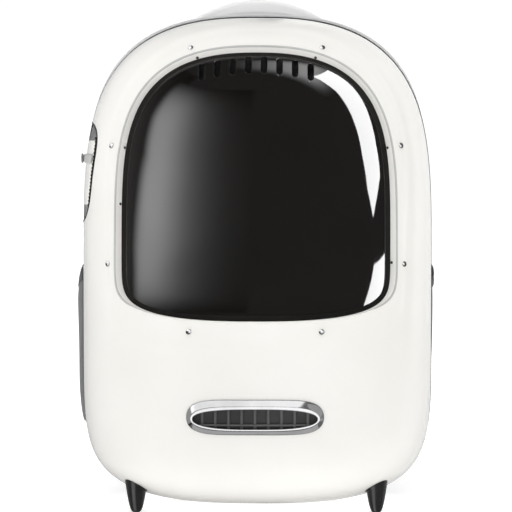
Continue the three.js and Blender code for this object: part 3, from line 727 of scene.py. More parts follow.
def seam_zip():
    """A closed zip: a tape all round with a row of small interlocking teeth."""
    count = 2 * SEAM.teeth
    ring = outline(FRONT, count)
    radial = unit(grow_ring(ring, 1.0) - ring)
    tooth = np.where(np.arange(count) % 2 == 0, 0.0, -SEAM.notch)[:, None]
    lean = np.where(np.arange(count) % 4 < 2, SEAM.lean, -SEAM.lean)
    columns = []
    for drop, share in SEAM_SECTION:
        edge = grow_ring(ring, SEAM.proud - drop)
        if abs(share) < 1:
            edge = edge + radial * tooth
        columns.append(upright(edge, SEAM.half * share + lean * (1 - abs(share))))
    inner = grow_ring(ring, SEAM.proud - SEAM.width)
    columns += [upright(inner, y) for y in (SEAM.half, -SEAM.half)]
    piece = loop_piece("seam_zip_teeth", np.stack(columns, axis=1), sharp=30)
    dress(piece, ZIP_TEETH, "dark_zip", "seam_zip")


# The window and its fittings

def dome_rise(reach):
    return DOME.bulge * (1 - power(reach, DOME.roundness)) - LIP.depth - 2 * GAP


def slot_cutter(index, surface):
    """A slot with chamfered edges that follow the dome's own surface."""
    offset = index - (SLOTS.count - 1) / 2
    x = offset * SLOTS.pitch
    z = SLOTS.middle_z - SLOTS.end_drop * (offset / ((SLOTS.count - 1) / 2)) ** 2
    straight = (SLOTS.length - SLOTS.width) / 2
    turn = full_turn(40)
    lift = np.where(np.sin(turn) >= 0, straight, -straight)
    profiles = []
    chamfer = SLOTS.chamfer
    for depth, grow in ((-4.0, chamfer * 1.6), (-0.1, chamfer), (chamfer, 0.0), (14.0, 0.0)):
        radius = SLOTS.width / 2 + grow
        px = x + radius * np.cos(turn)
        pz = z + lift + radius * np.sin(turn)
        profiles.append(np.column_stack([px, surface(px, pz) + depth, pz]))
    return sweep_piece("slot_cutter", np.array(profiles))


def window_dome():
    sectors, rings = 240, 52
    edge = oval_ring(WINDOW, sectors)
    flange = grow_ring(edge, DOME.flange)
    reach = 1 - (1 - np.linspace(0, 1, rings)) ** 1.7
    x = edge[None, :, 0] * reach[:, None]
    z = mix(DOME.centre_z, edge[None, :, 1], reach[:, None])
    x = np.concatenate([x, flange[None, :, 0]])
    z = np.concatenate([z, flange[None, :, 1]])
    rise = np.concatenate([dome_rise(reach), [dome_rise(1.0)]])[:, None]
    over = over_face(FRONT, x, z, rise)
    under = over_face(FRONT, x, z, rise - DOME.wall)
    piece = disc_piece("window_smoke", over, under)
    rows = over.reshape(-1, 3)

    def surface(px, pz):
        gaps = (rows[:, 0][None] - px[:, None]) ** 2 + (rows[:, 2][None] - pz[:, None]) ** 2
        near = np.argsort(gaps, axis=1)[:, :4]
        weight = 1 / (np.take_along_axis(gaps, near, axis=1) + 1e-3)
        return (rows[near, 1] * weight).sum(axis=1) / weight.sum(axis=1)

    cut(piece, [slot_cutter(index, surface) for index in range(SLOTS.count)], sharp=24)
    dress(piece, SMOKE, "smoke", "window_dome")


def window_border():
    """A dull dark band where the window meets the lip, narrower over the slots."""
    edge = oval_ring(WINDOW, 240)
    narrow = smooth((edge[:, 1] - DOME.narrow_z) / DOME.narrow_span)
    width = mix(DOME.border, DOME.top_border, narrow)
    start = 1 - width / np.hypot(edge[:, 0], edge[:, 1] - DOME.centre_z)
    reach = mix(start[None], 1.0, np.linspace(0, 1, 7)[:, None])
    x = edge[None, :, 0] * reach
    z = mix(DOME.centre_z, edge[None, :, 1], reach)
    lift = np.array([-0.1, 0.1, 0.15, 0.15, 0.15, 0.15, 0.15])[:, None]
    over = over_face(FRONT, x, z, dome_rise(reach) + lift)
    under = over_face(FRONT, x, z, dome_rise(reach) - 0.6)
    profiles = np.concatenate([over, under[::-1]]).transpose(1, 0, 2)
    dress(loop_piece("window_border", profiles), BORDER, "dark_plastic")


def rivet(index, x, z):
    """A domed rivet that stands on the sunk flange."""
    angle = np.linspace(0, np.pi / 2, 9)[:-1]
    rise = RIVET.edge + (RIVET.height - RIVET.edge) * np.sin(angle)
    rim = [(RIVET.radius * 0.92, -0.1), (RIVET.radius, 0.1)]
    rings = lathe([*rim, *zip(RIVET.radius * np.cos(angle), rise), (0.05, RIVET.height)], 32)
    seat = over_face(FRONT, x, z, flange_offset([x], [z])[0])
    axis = unit(over_face(FRONT, x, z, 1.0) - over_face(FRONT, x, z, 0.0))
    piece = sweep_piece(f"rivet_{index}", turn_to(rings, axis) + seat)
    dress(piece, RIVET_METAL, "chrome", f"window_rivet_{index}")


def lip_pin(index, x, z):
    """The dark end of a fastening, where it comes through the lip beside the window."""
    ring = oval_ring(WINDOW, 720)
    at = int(np.argmin(np.hypot(*(ring - (x, z)).T)))
    along = ring[(at + 1) % 720] - ring[at - 1]
    inward = unit(np.array([along[1], 0.0, -along[0]]))
    edge = over_face(FRONT, *ring[at], 0.0)
    down = unit(over_face(FRONT, *ring[at], -1.0) - edge)
    seat = edge + down * (LIP.depth - LIP.pin_height)
    piece = sweep_piece(f"lip_pin_{index}", turn_to(lathe(PIN_PROFILE, 20), inward) + seat)
    dress(piece, DARK, "dark_plastic")


def grille_frame():
    section = np.array(FRAME_SECTION)
    profiles = []
    for start, end in zip(grille_ring(GRILLE.outer, 160), grille_ring(GRILLE.inner, 160)):
        at = mix(start[None], end[None], section[:, :1])
        profiles.append(over_face(FRONT, at[:, 0], at[:, 1], section[:, 1]))
    dress(loop_piece("grille_ring", np.array(profiles), sharp=50), CHROME, "chrome", "grille_frame")


def louvre_half(x):
    level = np.abs(x) / GRILLE.hole[0]
    return GRILLE.hole[1] * power(1 - power(level, GRILLE.hole[3]), 1 / GRILLE.exponent) - 2 * GAP


def grille_louvre():
    """A dark plate behind the frame."""
    end = GRILLE.hole[0] - GRILLE.louvre_end
    x = np.linspace(-end, end, 61)[None]
    z = GRILLE.hole[2] + louvre_half(x) * np.linspace(-1, 1, 13)[:, None]
    over = over_face(FRONT, x, z, -GRILLE.louvre_sink)
    under = over_face(FRONT, x, z, -GRILLE.louvre_sink - GRILLE.louvre_wall)
    dress(sheet_piece("grille_plate", over, under), DARK, "dark_plastic", "grille_louvre")


def grille_ribs():
    """Rounded upright ribs on the plate, and a thin sill that runs across their feet. Both are in a lighter
    copy of the plate's dark plastic: painted light where they stand forward of the shaded plate, and the
    sill's pale line is a painted highlight along the louvre's lower edge.
    """
    angle = np.linspace(0, np.pi, 9)
    across = -GRILLE.rib_width / 2 * np.cos(angle)
    height = GRILLE.rib_rise * power(np.sin(angle), 0.7) - GRILLE.louvre_sink - 0.2
    ribs = []
    for index in range(GRILLE.ribs):
        x = (index - (GRILLE.ribs - 1) / 2) * GRILLE.rib_pitch
        half = float(louvre_half(x)) - 0.6
        z = GRILLE.hole[2] + np.linspace(-half, half, 14)[:, None]
        ribs.append(sweep_piece(f"grille_rib_{index + 1}", over_face(FRONT, x + across, z, height)))
    x = np.linspace(-GRILLE.sill_half, GRILLE.sill_half, 60)
    sill = [over_face(FRONT, x, GRILLE.sill_z + rise, level) for rise, level in SILL_SECTION]
    ribs.append(sweep_piece("grille_sill", np.stack(sill, axis=1)))
    for piece in ribs:
        dress(piece, PAINTED_LIGHT_DARK_PLASTIC, "dark_plastic")


# The zip bay on the left

def bay_sheet(name, y, z, height, under, **shading):
    """A sheet over the shell's left side, between a height over it and a lower one."""
    y, z, height = np.broadcast_arrays(y, z, height)
    over = over_side(FRONT, -1, y, z, height)
    return sheet_piece(name, over, over_side(FRONT, -1, y, z, np.minimum(under, height - 0.2)), **shading)


def pillow(rows, columns, row_edge, column_edge):
    """1 over the middle of a sheet, falling to 0 along its edges."""
    down = np.linspace(0, 1, rows)[:, None]
    along = np.linspace(0, 1, columns)[None]
    side = np.minimum(along, 1 - along) / column_edge
    end = np.minimum(down, 1 - down) / row_edge
    return np.clip(np.minimum(side, end), 0.0, 1.0) ** 0.5


def bay_cloth():
    half = ZIP_BAY.half_height - GAP
    along = np.linspace(0, 1, 41)[None]
    z = ZIP_BAY.z + half * np.linspace(-0.985, 0.985, 61)[:, None] + 0 * along
    y = mix(FRONT.edge_y - 0.8, FRONT.edge_y - bay_depth(z, -2 * GAP), along)
    fold = 0.4 * np.sin(z / 4.5 + 2.2 * np.sin(y / 9)) * np.sin(np.pi * along) ** 0.6
    cloth = bay_sheet("bay_cloth", y, z, ZIP_BAY.cloth[0] + 0.5 + fold, ZIP_BAY.cloth[1])
    dress(cloth, BAY_CLOTH, "grey_cloth", "zip_gusset")


def bay_flap():
    along = np.linspace(0, 1, 41)[None]
    low, high = ZIP_BAY.z - ZIP_BAY.flap_half, ZIP_BAY.z + ZIP_BAY.flap_half
    z = mix(low, high, np.linspace(0, 1, 41))[:, None] + 0 * along
    y = mix(FRONT.edge_y - ZIP_BAY.flap_front, FRONT.edge_y - bay_depth(z) + ZIP_BAY.flap_back, along)
    height = ZIP_BAY.flap[0] - 0.6 * (1 - pillow(41, 41, 0.04, 0.07))
    dress(bay_sheet("bay_flap", y, z, height, ZIP_BAY.flap[1]), WHITE, "white_shell", "zip_flap")


def bay_zip():
    low, high = ZIP_BAY.z - ZIP_BAY.teeth_low, ZIP_BAY.z + ZIP_BAY.teeth_high
    z = mix(low, high, np.linspace(0, 1, 129))[:, None]
    band = mix(ZIP_BAY.teeth_from, ZIP_BAY.teeth_to, np.linspace(0, 1, 7))[None]
    y = FRONT.edge_y - bay_depth(z) + band
    tooth = (np.sin(z * 2 * np.pi / ZIP_BAY.tooth_pitch) > 0) * np.array([0, 0, 1, 1, 1, 0, 0])[None]
    height = ZIP_BAY.teeth[0] - ZIP_BAY.tooth + ZIP_BAY.tooth * tooth
    piece = bay_sheet("bay_zip", y, z, height, ZIP_BAY.teeth[1], sharp=25)
    dress(piece, ZIP_TEETH, "dark_zip", "zip_teeth")


def bay_piping():
    """A thin dark edge that runs round the opening in the shell."""
    y, z = bay_edge(np.linspace(0.03, np.pi - 0.03, 90), 0.1)
    out = unit(over_side(FRONT, -1, y, z, 1.0) - over_side(FRONT, -1, y, z, 0.0))
    path = over_side(FRONT, -1, y, z, -0.25)
    tube("bay_piping", path, out, ZIP_BAY.piping, ZIP_TEETH, "dark_zip", sides=10)


def bay_slider():
    middle = ZIP_BAY.z + ZIP_BAY.slider_z
    z = middle + mix(-ZIP_BAY.slider_half, ZIP_BAY.slider_half, np.linspace(0, 1, 13))[:, None]
    y = FRONT.edge_y - mix(ZIP_BAY.slider_front, ZIP_BAY.slider_back, np.linspace(0, 1, 31))[None]
    height = ZIP_BAY.slider[0] - 0.9 * (1 - pillow(13, 31, 0.17, 0.06))
    dress(bay_sheet("bay_slider", y, z, height, ZIP_BAY.slider[1]), SHADE_BEAD_AND_SLIDER_GREY, "light_grey", "zip_slider")
    seat = over_side(FRONT, -1, FRONT.edge_y - ZIP_BAY.knob_at, middle, 1.5)
    knob = sweep_piece("bay_knob", turn_to(lathe(KNOB_PROFILE, 36), (-1, 0, 0)) + seat)
    dress(knob, KNOB_GREY, "light_grey")


# The handle and feet

def arch_z(x, half, top, rise):
    radius = (half * half + rise * rise) / (2 * rise)
    return top - radius + np.sqrt(np.maximum(radius * radius - x * x, 0))


def rear_top(x, y):
    """Height of the rear shell's crown over a place behind the seam."""
    low, high = np.full_like(x, 250.0), np.full_like(x, BODY.widest_z + REAR.top_rise)
    return settle(low, high, lambda z: face_y(REAR, x, z) > y)[0]


def handle():
    """A broad arch whose front edge has a shallow cove under it; its ends run down to the rear shell."""
    turn = np.sin(np.linspace(-np.pi / 2, np.pi / 2, 81))
    x_outer, x_inner = HANDLE.outer_half * turn, HANDLE.inner_half * turn
    top = arch_z(x_outer, HANDLE.outer_half, HANDLE.outer_top, HANDLE.outer_rise)
    low = arch_z(x_inner, HANDLE.inner_half, HANDLE.inner_top, HANDLE.inner_rise)
    depth, share, drop = np.array(HANDLE_SECTION).T
    x = mix(x_inner[:, None], x_outer[:, None], share[None])
    z = mix(low[:, None], top[:, None], share[None]) - drop[None] * (1 - 0.45 * turn[:, None] ** 2)
    profiles = np.stack([x, np.broadcast_to(depth[None], x.shape), z], axis=-1)
    ends = profiles[[0, -1]]
    ends[..., 2] = rear_top(ends[..., 0], ends[..., 1]) + GAP
    profiles = np.concatenate([ends[:1], profiles, ends[1:]])
    dress(sweep_piece("handle_arch", profiles, sharp=60), GREY, "light_grey", "carry_handle")


def shell_floor(shell, x, y):
    """Height of a shell's underside over a place on the floor."""
    low, high = np.full_like(x, 1.6), np.full_like(x, 110.0)
    return settle(low, high, lambda z: (face_y(shell, x, z) - y) * shell.facing <= 0)[1]


def foot(word, shell, side, y):
    """A peg whose top is cut to the shell's underside."""
    seat = np.array([side * FOOT.x, y, 0.0])
    rings = lathe(spaced(np.array(FOOT_PROFILE, float), 26), 48) + seat
    ceiling = shell_floor(shell, rings[..., 0], rings[..., 1]) - GAP
    top = rings[-1].copy()
    top[:, 2] = ceiling[-1]
    rings[..., 2] = np.minimum(rings[..., 2], ceiling)
    middle = seat + (top - seat) * (0.03, 0.03, 1.0)
    middle[:, 2] = shell_floor(shell, middle[:, 0], middle[:, 1]) - GAP
    piece = sweep_piece(f"peg_{word}", np.concatenate([rings, [top], [middle]]), sharp=45)
    dress(piece, CHARCOAL, "charcoal", f"foot_{word}")


# Cloth and padding

def pocket_slack(up, back):
    across = power(np.sin(np.pi * power(back, 1.8)), 0.7)
    return POCKET.bulge * across * power(np.sin(np.pi * up / 2), 0.8)


def pocket_swell(up, back):
    """The fuller front of a pocket, which keeps its shape down to the curve at its foot."""
    return POCKET.swell * power(np.sin(np.pi * power(back, 0.85)), 0.8) * power(np.sin(np.pi * up / 2), 0.12)


def pocket_drawn(up, back):
    """1 over most of a pocket, and round towards 0 at the front of its mouth; the back stays open."""
    level = np.clip((up - POCKET.drawn_from) / (1 - POCKET.drawn_from), 0.0, 1.0)
    gathered = np.sqrt(1 - level ** 2)
    return mix(0.9 * smooth((back - 0.35) / 0.3), 1.0, gathered)


def pocket_mouth(back):
    return POCKET.top_z - POCKET.mouth_dip * np.sin(np.pi * back)


def pocket_folds(up, back, side):
    """Soft creases that run down from the gathered mouth and up from the seams."""
    fan = np.sin(back * 26 + 1.3 * side + 2.0 * np.sin(up * 3.1)) * up ** 2 * 0.55
    sag = np.sin(up * 9 + back * 5 + side) * np.sin(np.pi * back) * 0.45
    return (fan + sag) * np.sin(np.pi * np.clip(back, 0, 1)) ** 0.5 * np.clip(up * 4, 0, 1)


def pocket(word, side):
    """A slack cloth pocket with a gathered hem along its mouth."""
    share = POCKET.hem / (POCKET.top_z - POCKET.bottom_z)
    fill = POCKET_FILL[word]

    def place(up, back, lift):
        slack = np.maximum(pocket_slack(up, back) * fill.slack, pocket_swell(up, back) * fill.swell)
        slack = slack * pocket_drawn(up, back)
        folds = np.maximum(pocket_folds(up, back, side), -0.4)
        y = mix(POCKET.front_y, POCKET.back_y, back) + 0 * up
        z = mix(POCKET.bottom_z, pocket_mouth(back), up)
        return over_side(REAR, side, y, z, POCKET.gap + slack + folds + lift)

    up = np.linspace(0, 1, 61)[:, None]
    back = np.linspace(0, 1, 49)[None]
    cloth = sheet_piece(f"pocket_{word}", place(up, back, fill.wall), place(up, back, 0.4))
    dress(cloth, POCKET_CLOTH, "dark_cloth", f"side_pocket_{word}")

    down = np.linspace(0, 1, 13)[:, None]
    up = mix(1 - share, 1.0, down)
    back = np.linspace(0, 1, 121)[None]
    round_hem = fill.hem * np.sin(np.pi * down) + 0.4
    gather = 0.18 * np.sin(back * 150) * np.sin(np.pi * down)
    over = place(up, back, fill.wall + round_hem + gather)
    hem = sheet_piece(f"hem_{word}", over, place(up, back, fill.wall - 0.1))
    dress(hem, HEM_CLOTH, "dark_zip", f"pocket_hem_{word}")

    along = np.linspace(0.03, 0.97, 160)
    lift = fill.wall + 0.55 + 0.45 * fill.hem
    levels = (1 - 0.85 * share, 1 - 0.15 * share)
    rows = [(place(level + 0 * along, along, lift), np.array([side, 0.0, 0.0])) for level in levels]
    thread = stitches(f"hem_thread_{word}", rows)


def pad_height(x, z):
    across = power(np.abs(x) / PAD.half_width, PAD.exponent)
    along = power(np.abs(z - PAD.widest_z) / PAD.rise, PAD.exponent)
    share = power(across + along, 1 / PAD.exponent)
    return PAD.gap + mix(PAD.edge, PAD.thick, power(1 - power(share, 6), 0.5))


def stitches(name, rows, pitch=4.2, length=2.9, radius=0.32):
    """Rows of thread: each row is a path in millimetres and the way that the cloth faces there."""
    points, faces = [], []
    turn = full_turn(6)
    for path, facing in rows:
        steps = np.linalg.norm(np.diff(path, axis=0), axis=1).sum()
        stations = spaced(path, max(int(steps / pitch), 3))
        along = unit(np.gradient(stations, axis=0))
        out = unit(facing - along * (along * facing).sum(axis=1, keepdims=True))
        across = np.cross(along, out)
        for middle, ahead, up, aside in zip(stations, along, out, across):
            first = len(points)
            for reach, size in ((-0.5, 0.35), (-0.32, 0.9), (0.0, 1.1), (0.32, 0.9), (0.5, 0.35)):
                sag = up * radius * (0.4 - 3.2 * reach * reach)
                ring = np.cos(turn)[:, None] * aside + np.sin(turn)[:, None] * up
                points.extend(middle + ahead * reach * length + sag + ring * radius * size)
            faces += loop_faces(5, 6, close_rows=False, start=first)
            faces += [tuple(range(first, first + 6)), tuple(range(first + 29, first + 23, -1))]
    return dress(make_mesh(name, np.array(points), faces, sharp=80), THREAD, "dark_cloth")


def tube(name, path, facing, radius, material, slot, closed=False, sides=12):
    """A round cord of trim along a path; facing is a way that isn't along it."""
    if closed:
        along = unit(np.roll(path, -1, axis=0) - np.roll(path, 1, axis=0))
    else:
        along = unit(np.gradient(path, axis=0))
    across = unit(np.cross(along, facing))
    out = np.cross(across, along)
    turn = full_turn(sides)[None, :, None]
    rings = np.cos(turn) * across[:, None] + np.sin(turn) * out[:, None]
    build = loop_piece if closed else sweep_piece
    dress(build(name, path[:, None] + radius * rings, sharp=80), material, slot)


def mesh_points(mesh):
    flat = np.zeros(3 * len(mesh.vertices))
    mesh.vertices.foreach_get("co", flat)
    return flat.reshape(-1, 3)


def inflate(piece, held, cap, voxel=0.0032, pressure=4.0):
    """Swells a piece as cloth under pressure: held points stay, and none moves beyond the cap."""
    modify(piece, "REMESH", mode="VOXEL", voxel_size=voxel)
    start = mesh_points(piece.data)
    group = piece.vertex_groups.new(name="held")
    group.add(np.flatnonzero(held(start / MM)).tolist(), 1.0, "REPLACE")
    cloth = piece.modifiers.new("cloth", "CLOTH")
    cloth.settings.quality = 6
    cloth.settings.mass = 0.3
    cloth.settings.use_pressure = True
    cloth.settings.uniform_pressure_force = pressure
    cloth.settings.effector_weights.gravity = 0.0
    cloth.settings.vertex_group_mass = group.name
    for number in range(1, 21):
        bpy.context.scene.frame_set(number)
    swollen = piece.evaluated_get(bpy.context.evaluated_depsgraph_get())
    moved = mesh_points(swollen.data) - start
    length = np.linalg.norm(moved, axis=1, keepdims=True)
    moved *= np.minimum(1.0, cap * MM / np.maximum(length, 1e-9))
    piece.modifiers.remove(cloth)
    piece.vertex_groups.clear()
    piece.data.vertices.foreach_set("co", (start + moved).ravel())
    bpy.context.scene.frame_set(1)
    modify(piece, "SUBSURF", levels=1)
    shade(piece, 80)


def pad_ring(reach, count):
    rim = even_oval(PAD.half_width, PAD.rise, PAD.widest_z, PAD.exponent, PAD.exponent, count)
    return rim[:, 0] * reach, mix(PAD.widest_z, rim[:, 1], reach)


def pad_channel(z):
    """1 along the sewn channels across the pad, falling to 0 beside them."""
    return sum(np.exp(-((z - middle) / PAD.channel_half) ** 2) for middle in PAD.channels)


def back_pad():
    """A quilted pad: it swells between its rim and the sewn channels across it."""
    x, z = np.array([pad_ring(reach, 160) for reach in np.linspace(0, 1, 40)]).transpose(1, 0, 2)
    rim = PAD.gap + PAD.rim
    height = np.maximum(pad_height(x, z) - PAD.slim - PAD.channel_depth * pad_channel(z), rim)
    pad = disc_piece("pad_back", over_face(REAR, x, z, height), over_face(REAR, x, z, PAD.gap), sharp=70)

    def held(points):
        px, py, pz = points.T
        low = py - face_y(REAR, px, pz) < PAD.held
        return low | (pad_channel(pz) > 0.75)

    inflate(pad, held, cap=4)
    dress(pad, PAD_CLOTH, "dark_cloth", "back_pad")

    path = over_face(REAR, *pad_ring(1.0, 240), PAD.gap + PAD.piping)
    tube("pad_piping", path, BACKWARD, PAD.piping, HEM_CLOTH, "dark_cloth", closed=True)
    x, z = pad_ring(PAD.hem, 240)
    ring = over_face(REAR, x, z, pad_height(x, z) - 1.2)
    rows = [(np.concatenate([ring, ring[:1]]), BACKWARD)]
    x = np.linspace(-0.9, 0.9, 120) * PAD.half_width
    for middle in PAD.channels:
        height = np.maximum(pad_height(x, middle) - PAD.slim - PAD.channel_depth, rim)
        rows.append((over_face(REAR, x, middle, height + 0.2), BACKWARD))
    stitches("pad_thread", rows)


def strap(word, side):
    """A padded strap with bound edges and a line of stitches inside each."""
    down = np.linspace(0, 1, 121)
    x = mix(STRAP.top_x, STRAP.bottom_x, smooth(down))
    z = mix(STRAP.top_z, STRAP.bottom_z, down)
    half = mix(STRAP.top_width, STRAP.bottom_width, down) / 2
    away = pad_height(x - half, z) + STRAP.gap + STRAP.bow * power(np.sin(np.pi * down), 0.75)
    middle = face_y(REAR, x, z) + away
    angle = full_turn(64)
    across = signed_power(np.cos(angle), 0.35)
    outward = signed_power(np.sin(angle), 0.6)
    seam = 1 - 0.45 * np.exp(-((np.abs(across) - STRAP.seam) / 0.05) ** 2)
    puff = 1 + 0.06 * np.sin(z / 7.0)[:, None] * np.cos(np.pi * across / 2)[None]
    profiles = np.stack([
        side * (x[:, None] + half[:, None] * across[None]),
        middle[:, None] + STRAP.thick / 2 * (1 + 0.92 * puff * (outward * seam)[None]),
        z[:, None] + 0 * across[None],
    ], axis=-1)
    piece = sweep_piece(f"strap_{word}", profiles, sharp=70)
    dress(piece, PAD_CLOTH, "dark_cloth", f"shoulder_strap_{word}")
    rows = []
    for edge, name in ((-1, "inner"), (1, "outer")):
        path = np.stack([side * (x + edge * (half - 0.9)), middle + STRAP.thick / 2, z], axis=1)[1:-1]
        tube(f"strap_binding_{word}_{name}", path, BACKWARD, STRAP.binding, HEM_CLOTH, "dark_cloth")
        seam_x = side * (x + edge * STRAP.seam * half)
        for level, facing in ((0.76, BACKWARD), (0.24, -BACKWARD)):
            rows.append((np.stack([seam_x, middle + STRAP.thick * level, z], axis=1)[3:-3], facing))
    wide = STRAP.box_half
    for top, bottom in STRAP.box_ends:
        corners = [(top, -wide), (top, wide), (bottom, wide), (bottom, -wide), (top, -wide), (bottom, wide)]
        for box in (corners, [(top, wide), (bottom, -wide)]):
            at, aside = spaced(np.array(box), 80).T
            box_x = side * (np.interp(at, down, x) + aside * np.interp(at, down, half))
            box_y = np.interp(at, down, middle) + STRAP.thick * 0.97
            rows.append((np.stack([box_x, box_y, np.interp(at, down, z)], axis=1), BACKWARD))
    stitches(f"strap_thread_{word}", rows)


def build():
    for make in (front_shell, rear_shell, seam_zip, lip_bead, window_dome, window_border):
        make()
    for index, place in enumerate(RIVET_PLACES, start=1):
        rivet(index, *place)
    for index, place in enumerate(LIP_PINS, start=1):
        lip_pin(index, *place)
    for make in (
        grille_frame, grille_louvre, grille_ribs,
        bay_cloth, bay_flap, bay_zip, bay_piping, bay_slider, handle, back_pad,
    ):
        make()
    for word, side in SIDES:
        pocket(word, side)
        foot(f"front_{word}", FRONT, side, FOOT.front_y)
        foot(f"rear_{word}", REAR, side, FOOT.rear_y)
        strap(word, side)


# The studio

CAMERA = Sizes(target=(-1.4, 0, 219), distance=2200, azimuth=1, elevation=3, lens=173.8)
# Lamps that show in some fittings alone: name, fittings, azimuth, elevation, size in metres, power
FITTING_LAMPS = [
    ("metal_window", "metal", -22, 34, (2.2, 1.46), 9),
    ("metal_front", "frame", 0, -11, (1.46, 0.48), 2.2),
    ("metal_left", "frame", -70, 2, (2.1, 2.3), 4.6),
    ("metal_side", "frame", 52, 0, (1.6, 1.6), 1.7),
    ("metal_below", "frame", 0, -62, (2.4, 1.2), 2.4),
    ("rivet_window", "rivets", -80, 50, (3.0, 3.0), 26),
    ("rivet_left", "pale_rivets", -40, -12, (2.2, 1.8), 10),
    ("rivet_right", "dark_rivets", 26, 2, (2.4, 1.6), 10),
    ("foot_window", "feet", -34, -42, (0.9, 1.8), 9),
]
# Lamps that light everything and don't show: name, azimuth, elevation, distance and size in metres, power
SOFT_LAMPS = [
    ("key", -6, 62, 2.4, 1.8, 33),
    ("front", -16, -16, 2.4, 1.4, 6),
    ("left_front", -62, 4, 2.4, 1.6, 4),
    ("right_front", 60, 0, 2.4, 1.6, 2),
    ("low", -14, -62, 2.4, 1.6, 6),
    ("top", 180, 84, 2.0, 1.6, 9),
    ("fill_left", -96, 8, 2.4, 1.8, 5),
    ("fill_right", 96, 8, 2.4, 1.8, 9),
]
# Panels round the object as rows of (elevation, first azimuth, last azimuth)
LEFT_PANEL = [
    (-13, -78, -2), (4, -80, -2), (13, -74, -2), (25, -68, -2), (40, -69, -2), (50, -67, -2), (63, -66, -2),
]
RIGHT_STRIP = [
    (9.8, 66.8, 67.3), (13, 63.5, 72.5), (16.4, 60.5, 76.8), (26, 57, 75), (36, 55.7, 75), (46, 54.3, 76),
    (58, 52.6, 77), (68, 47, 78.5), (71, 44, 80),
]
RIGHT_LOW = [
    (-12.8, 55, 75), (-9, 57.8, 78.2), (-6.8, 59.9, 80.4), (-4.1, 62.3, 82.7), (-1.9, 64.5, 84.5),
    (0.4, 66.8, 86.3), (2.4, 69, 86.8),
]
SHELL_LEFT = [(-40, -50, -179), (70, -50, -179)]
SHELL_RIGHT = [(-40, 84, 179), (-10, 92, 179), (-4, 110, 179), (70, 113, 179)]
# How the panels' glow fades, as rows of (share of the way across or up, level)
LEFT_ACROSS = [
    (0.0, 0.02), (0.05, 0.14), (0.11, 0.62), (0.16, 0.9), (0.22, 1.0), (0.33, 1.0), (0.42, 0.88),
    (0.5, 0.7), (0.58, 0.5), (0.64, 0.36), (0.7, 0.26), (0.76, 0.18), (0.82, 0.12), (0.9, 0.06), (1.0, 0.022),
]
LEFT_UP = [
    (0.0, 0.02), (0.04, 0.2), (0.085, 0.52), (0.154, 0.72), (0.263, 0.86), (0.355, 1.0), (0.566, 0.88),
    (0.7, 0.84), (0.763, 0.76), (0.83, 0.6), (0.88, 0.42), (0.92, 0.27), (0.96, 0.12), (1.0, 0.02),
]
TOP_ACROSS = [
    (0.0, 0.02), (0.07, 0.12), (0.13, 0.24), (0.19, 0.6), (0.31, 0.8), (0.46, 1.0), (0.62, 1.0),
    (0.75, 0.6), (0.87, 0.2), (1.0, 0.02),
]
TOP_UP = [(0.0, 0.03), (0.09, 0.2), (0.2, 0.4), (0.33, 0.95), (0.5, 1.0), (0.8, 1.0), (0.9, 0.7), (1.0, 0.05)]
SHELL_UP = [(0.0, 0.0), (0.2, 0.6), (0.4, 1.0), (0.7, 1.0), (0.85, 0.5), (1.0, 0.0)]
SHELL_LEFT_ACROSS = [(0.0, 0.0), (0.15, 0.3), (0.35, 0.9), (0.5, 1.0), (1.0, 1.0)]
SHELL_RIGHT_ACROSS = [(0.0, 0.0), (0.015, 0.85), (0.04, 1.0), (1.0, 1.0)]


def direction(azimuth, elevation):
    """Unit vector away from the object; azimuth 0 is straight in front, positive to the right."""
    a, e = np.radians(azimuth), np.radians(elevation)
    return np.stack([np.sin(a) * np.cos(e), -np.cos(a) * np.cos(e), np.sin(e)], axis=-1)


def add_camera():
    data = bpy.data.cameras.new("camera")
    data.lens = CAMERA.lens
    data.sensor_width = 36
    data.clip_end = 50
    camera = add_object("camera", data)
    back = Vector(direction(CAMERA.azimuth, CAMERA.elevation))
    camera.location = Vector(CAMERA.target) * MM + back * CAMERA.distance * MM
    camera.rotation_euler = (-back).to_track_quat("-Z", "Y").to_euler()
    bpy.context.scene.camera = camera


def glowing(name, strength, *fades):
    """A light panel's material; the first fade shapes its glow across the panel, the second up it."""
    material = bpy.data.materials.new(name)
    material.use_nodes = True
    nodes = Nodes(material.node_tree)
    nodes.tree.nodes.clear()
    glow = nodes.node("Emission", Strength=strength)
    nodes.node("OutputMaterial", Surface=glow.outputs[0])
    split = nodes.split("UV")
    levels = []
    for axis, fade in enumerate(fades):
        ramp = nodes.node("ValToRGB", Fac=split[axis])
        ramp.color_ramp.interpolation = "B_SPLINE"
        elements = ramp.color_ramp.elements
        while len(elements) < len(fade):
            elements.new(0.5)
        for element, (place, level) in zip(elements, fade):
            element.position = place
            element.color = (level, level, level, 1)
        levels.append(ramp.outputs["Color"])
    if fades:
        nodes.feed(glow.inputs["Color"], nodes.math("MULTIPLY", *levels))
    return material


def glow_panel(name, points, material):
    """A panel over a grid of points in metres that shows in gloss alone."""
    rows, columns = points.shape[:2]
    faces = []
    for row in range(rows - 1):
        for column in range(columns - 1):
            at = row * columns + column
            faces.append((at, at + 1, at + columns + 1, at + columns))
    mesh = bpy.data.meshes.new(name)
    mesh.from_pydata(points.reshape(-1, 3).tolist(), [], faces)
    layer = mesh.uv_layers.new(name="UVMap")
    for loop in mesh.loops:
        row, column = divmod(loop.vertex_index, columns)
        layer.data[loop.index].uv = (column / (columns - 1), row / (rows - 1))
    mesh.materials.append(material)
    panel = add_object(name, mesh)
    panel.visible_camera = False
    panel.visible_diffuse = False
    return panel


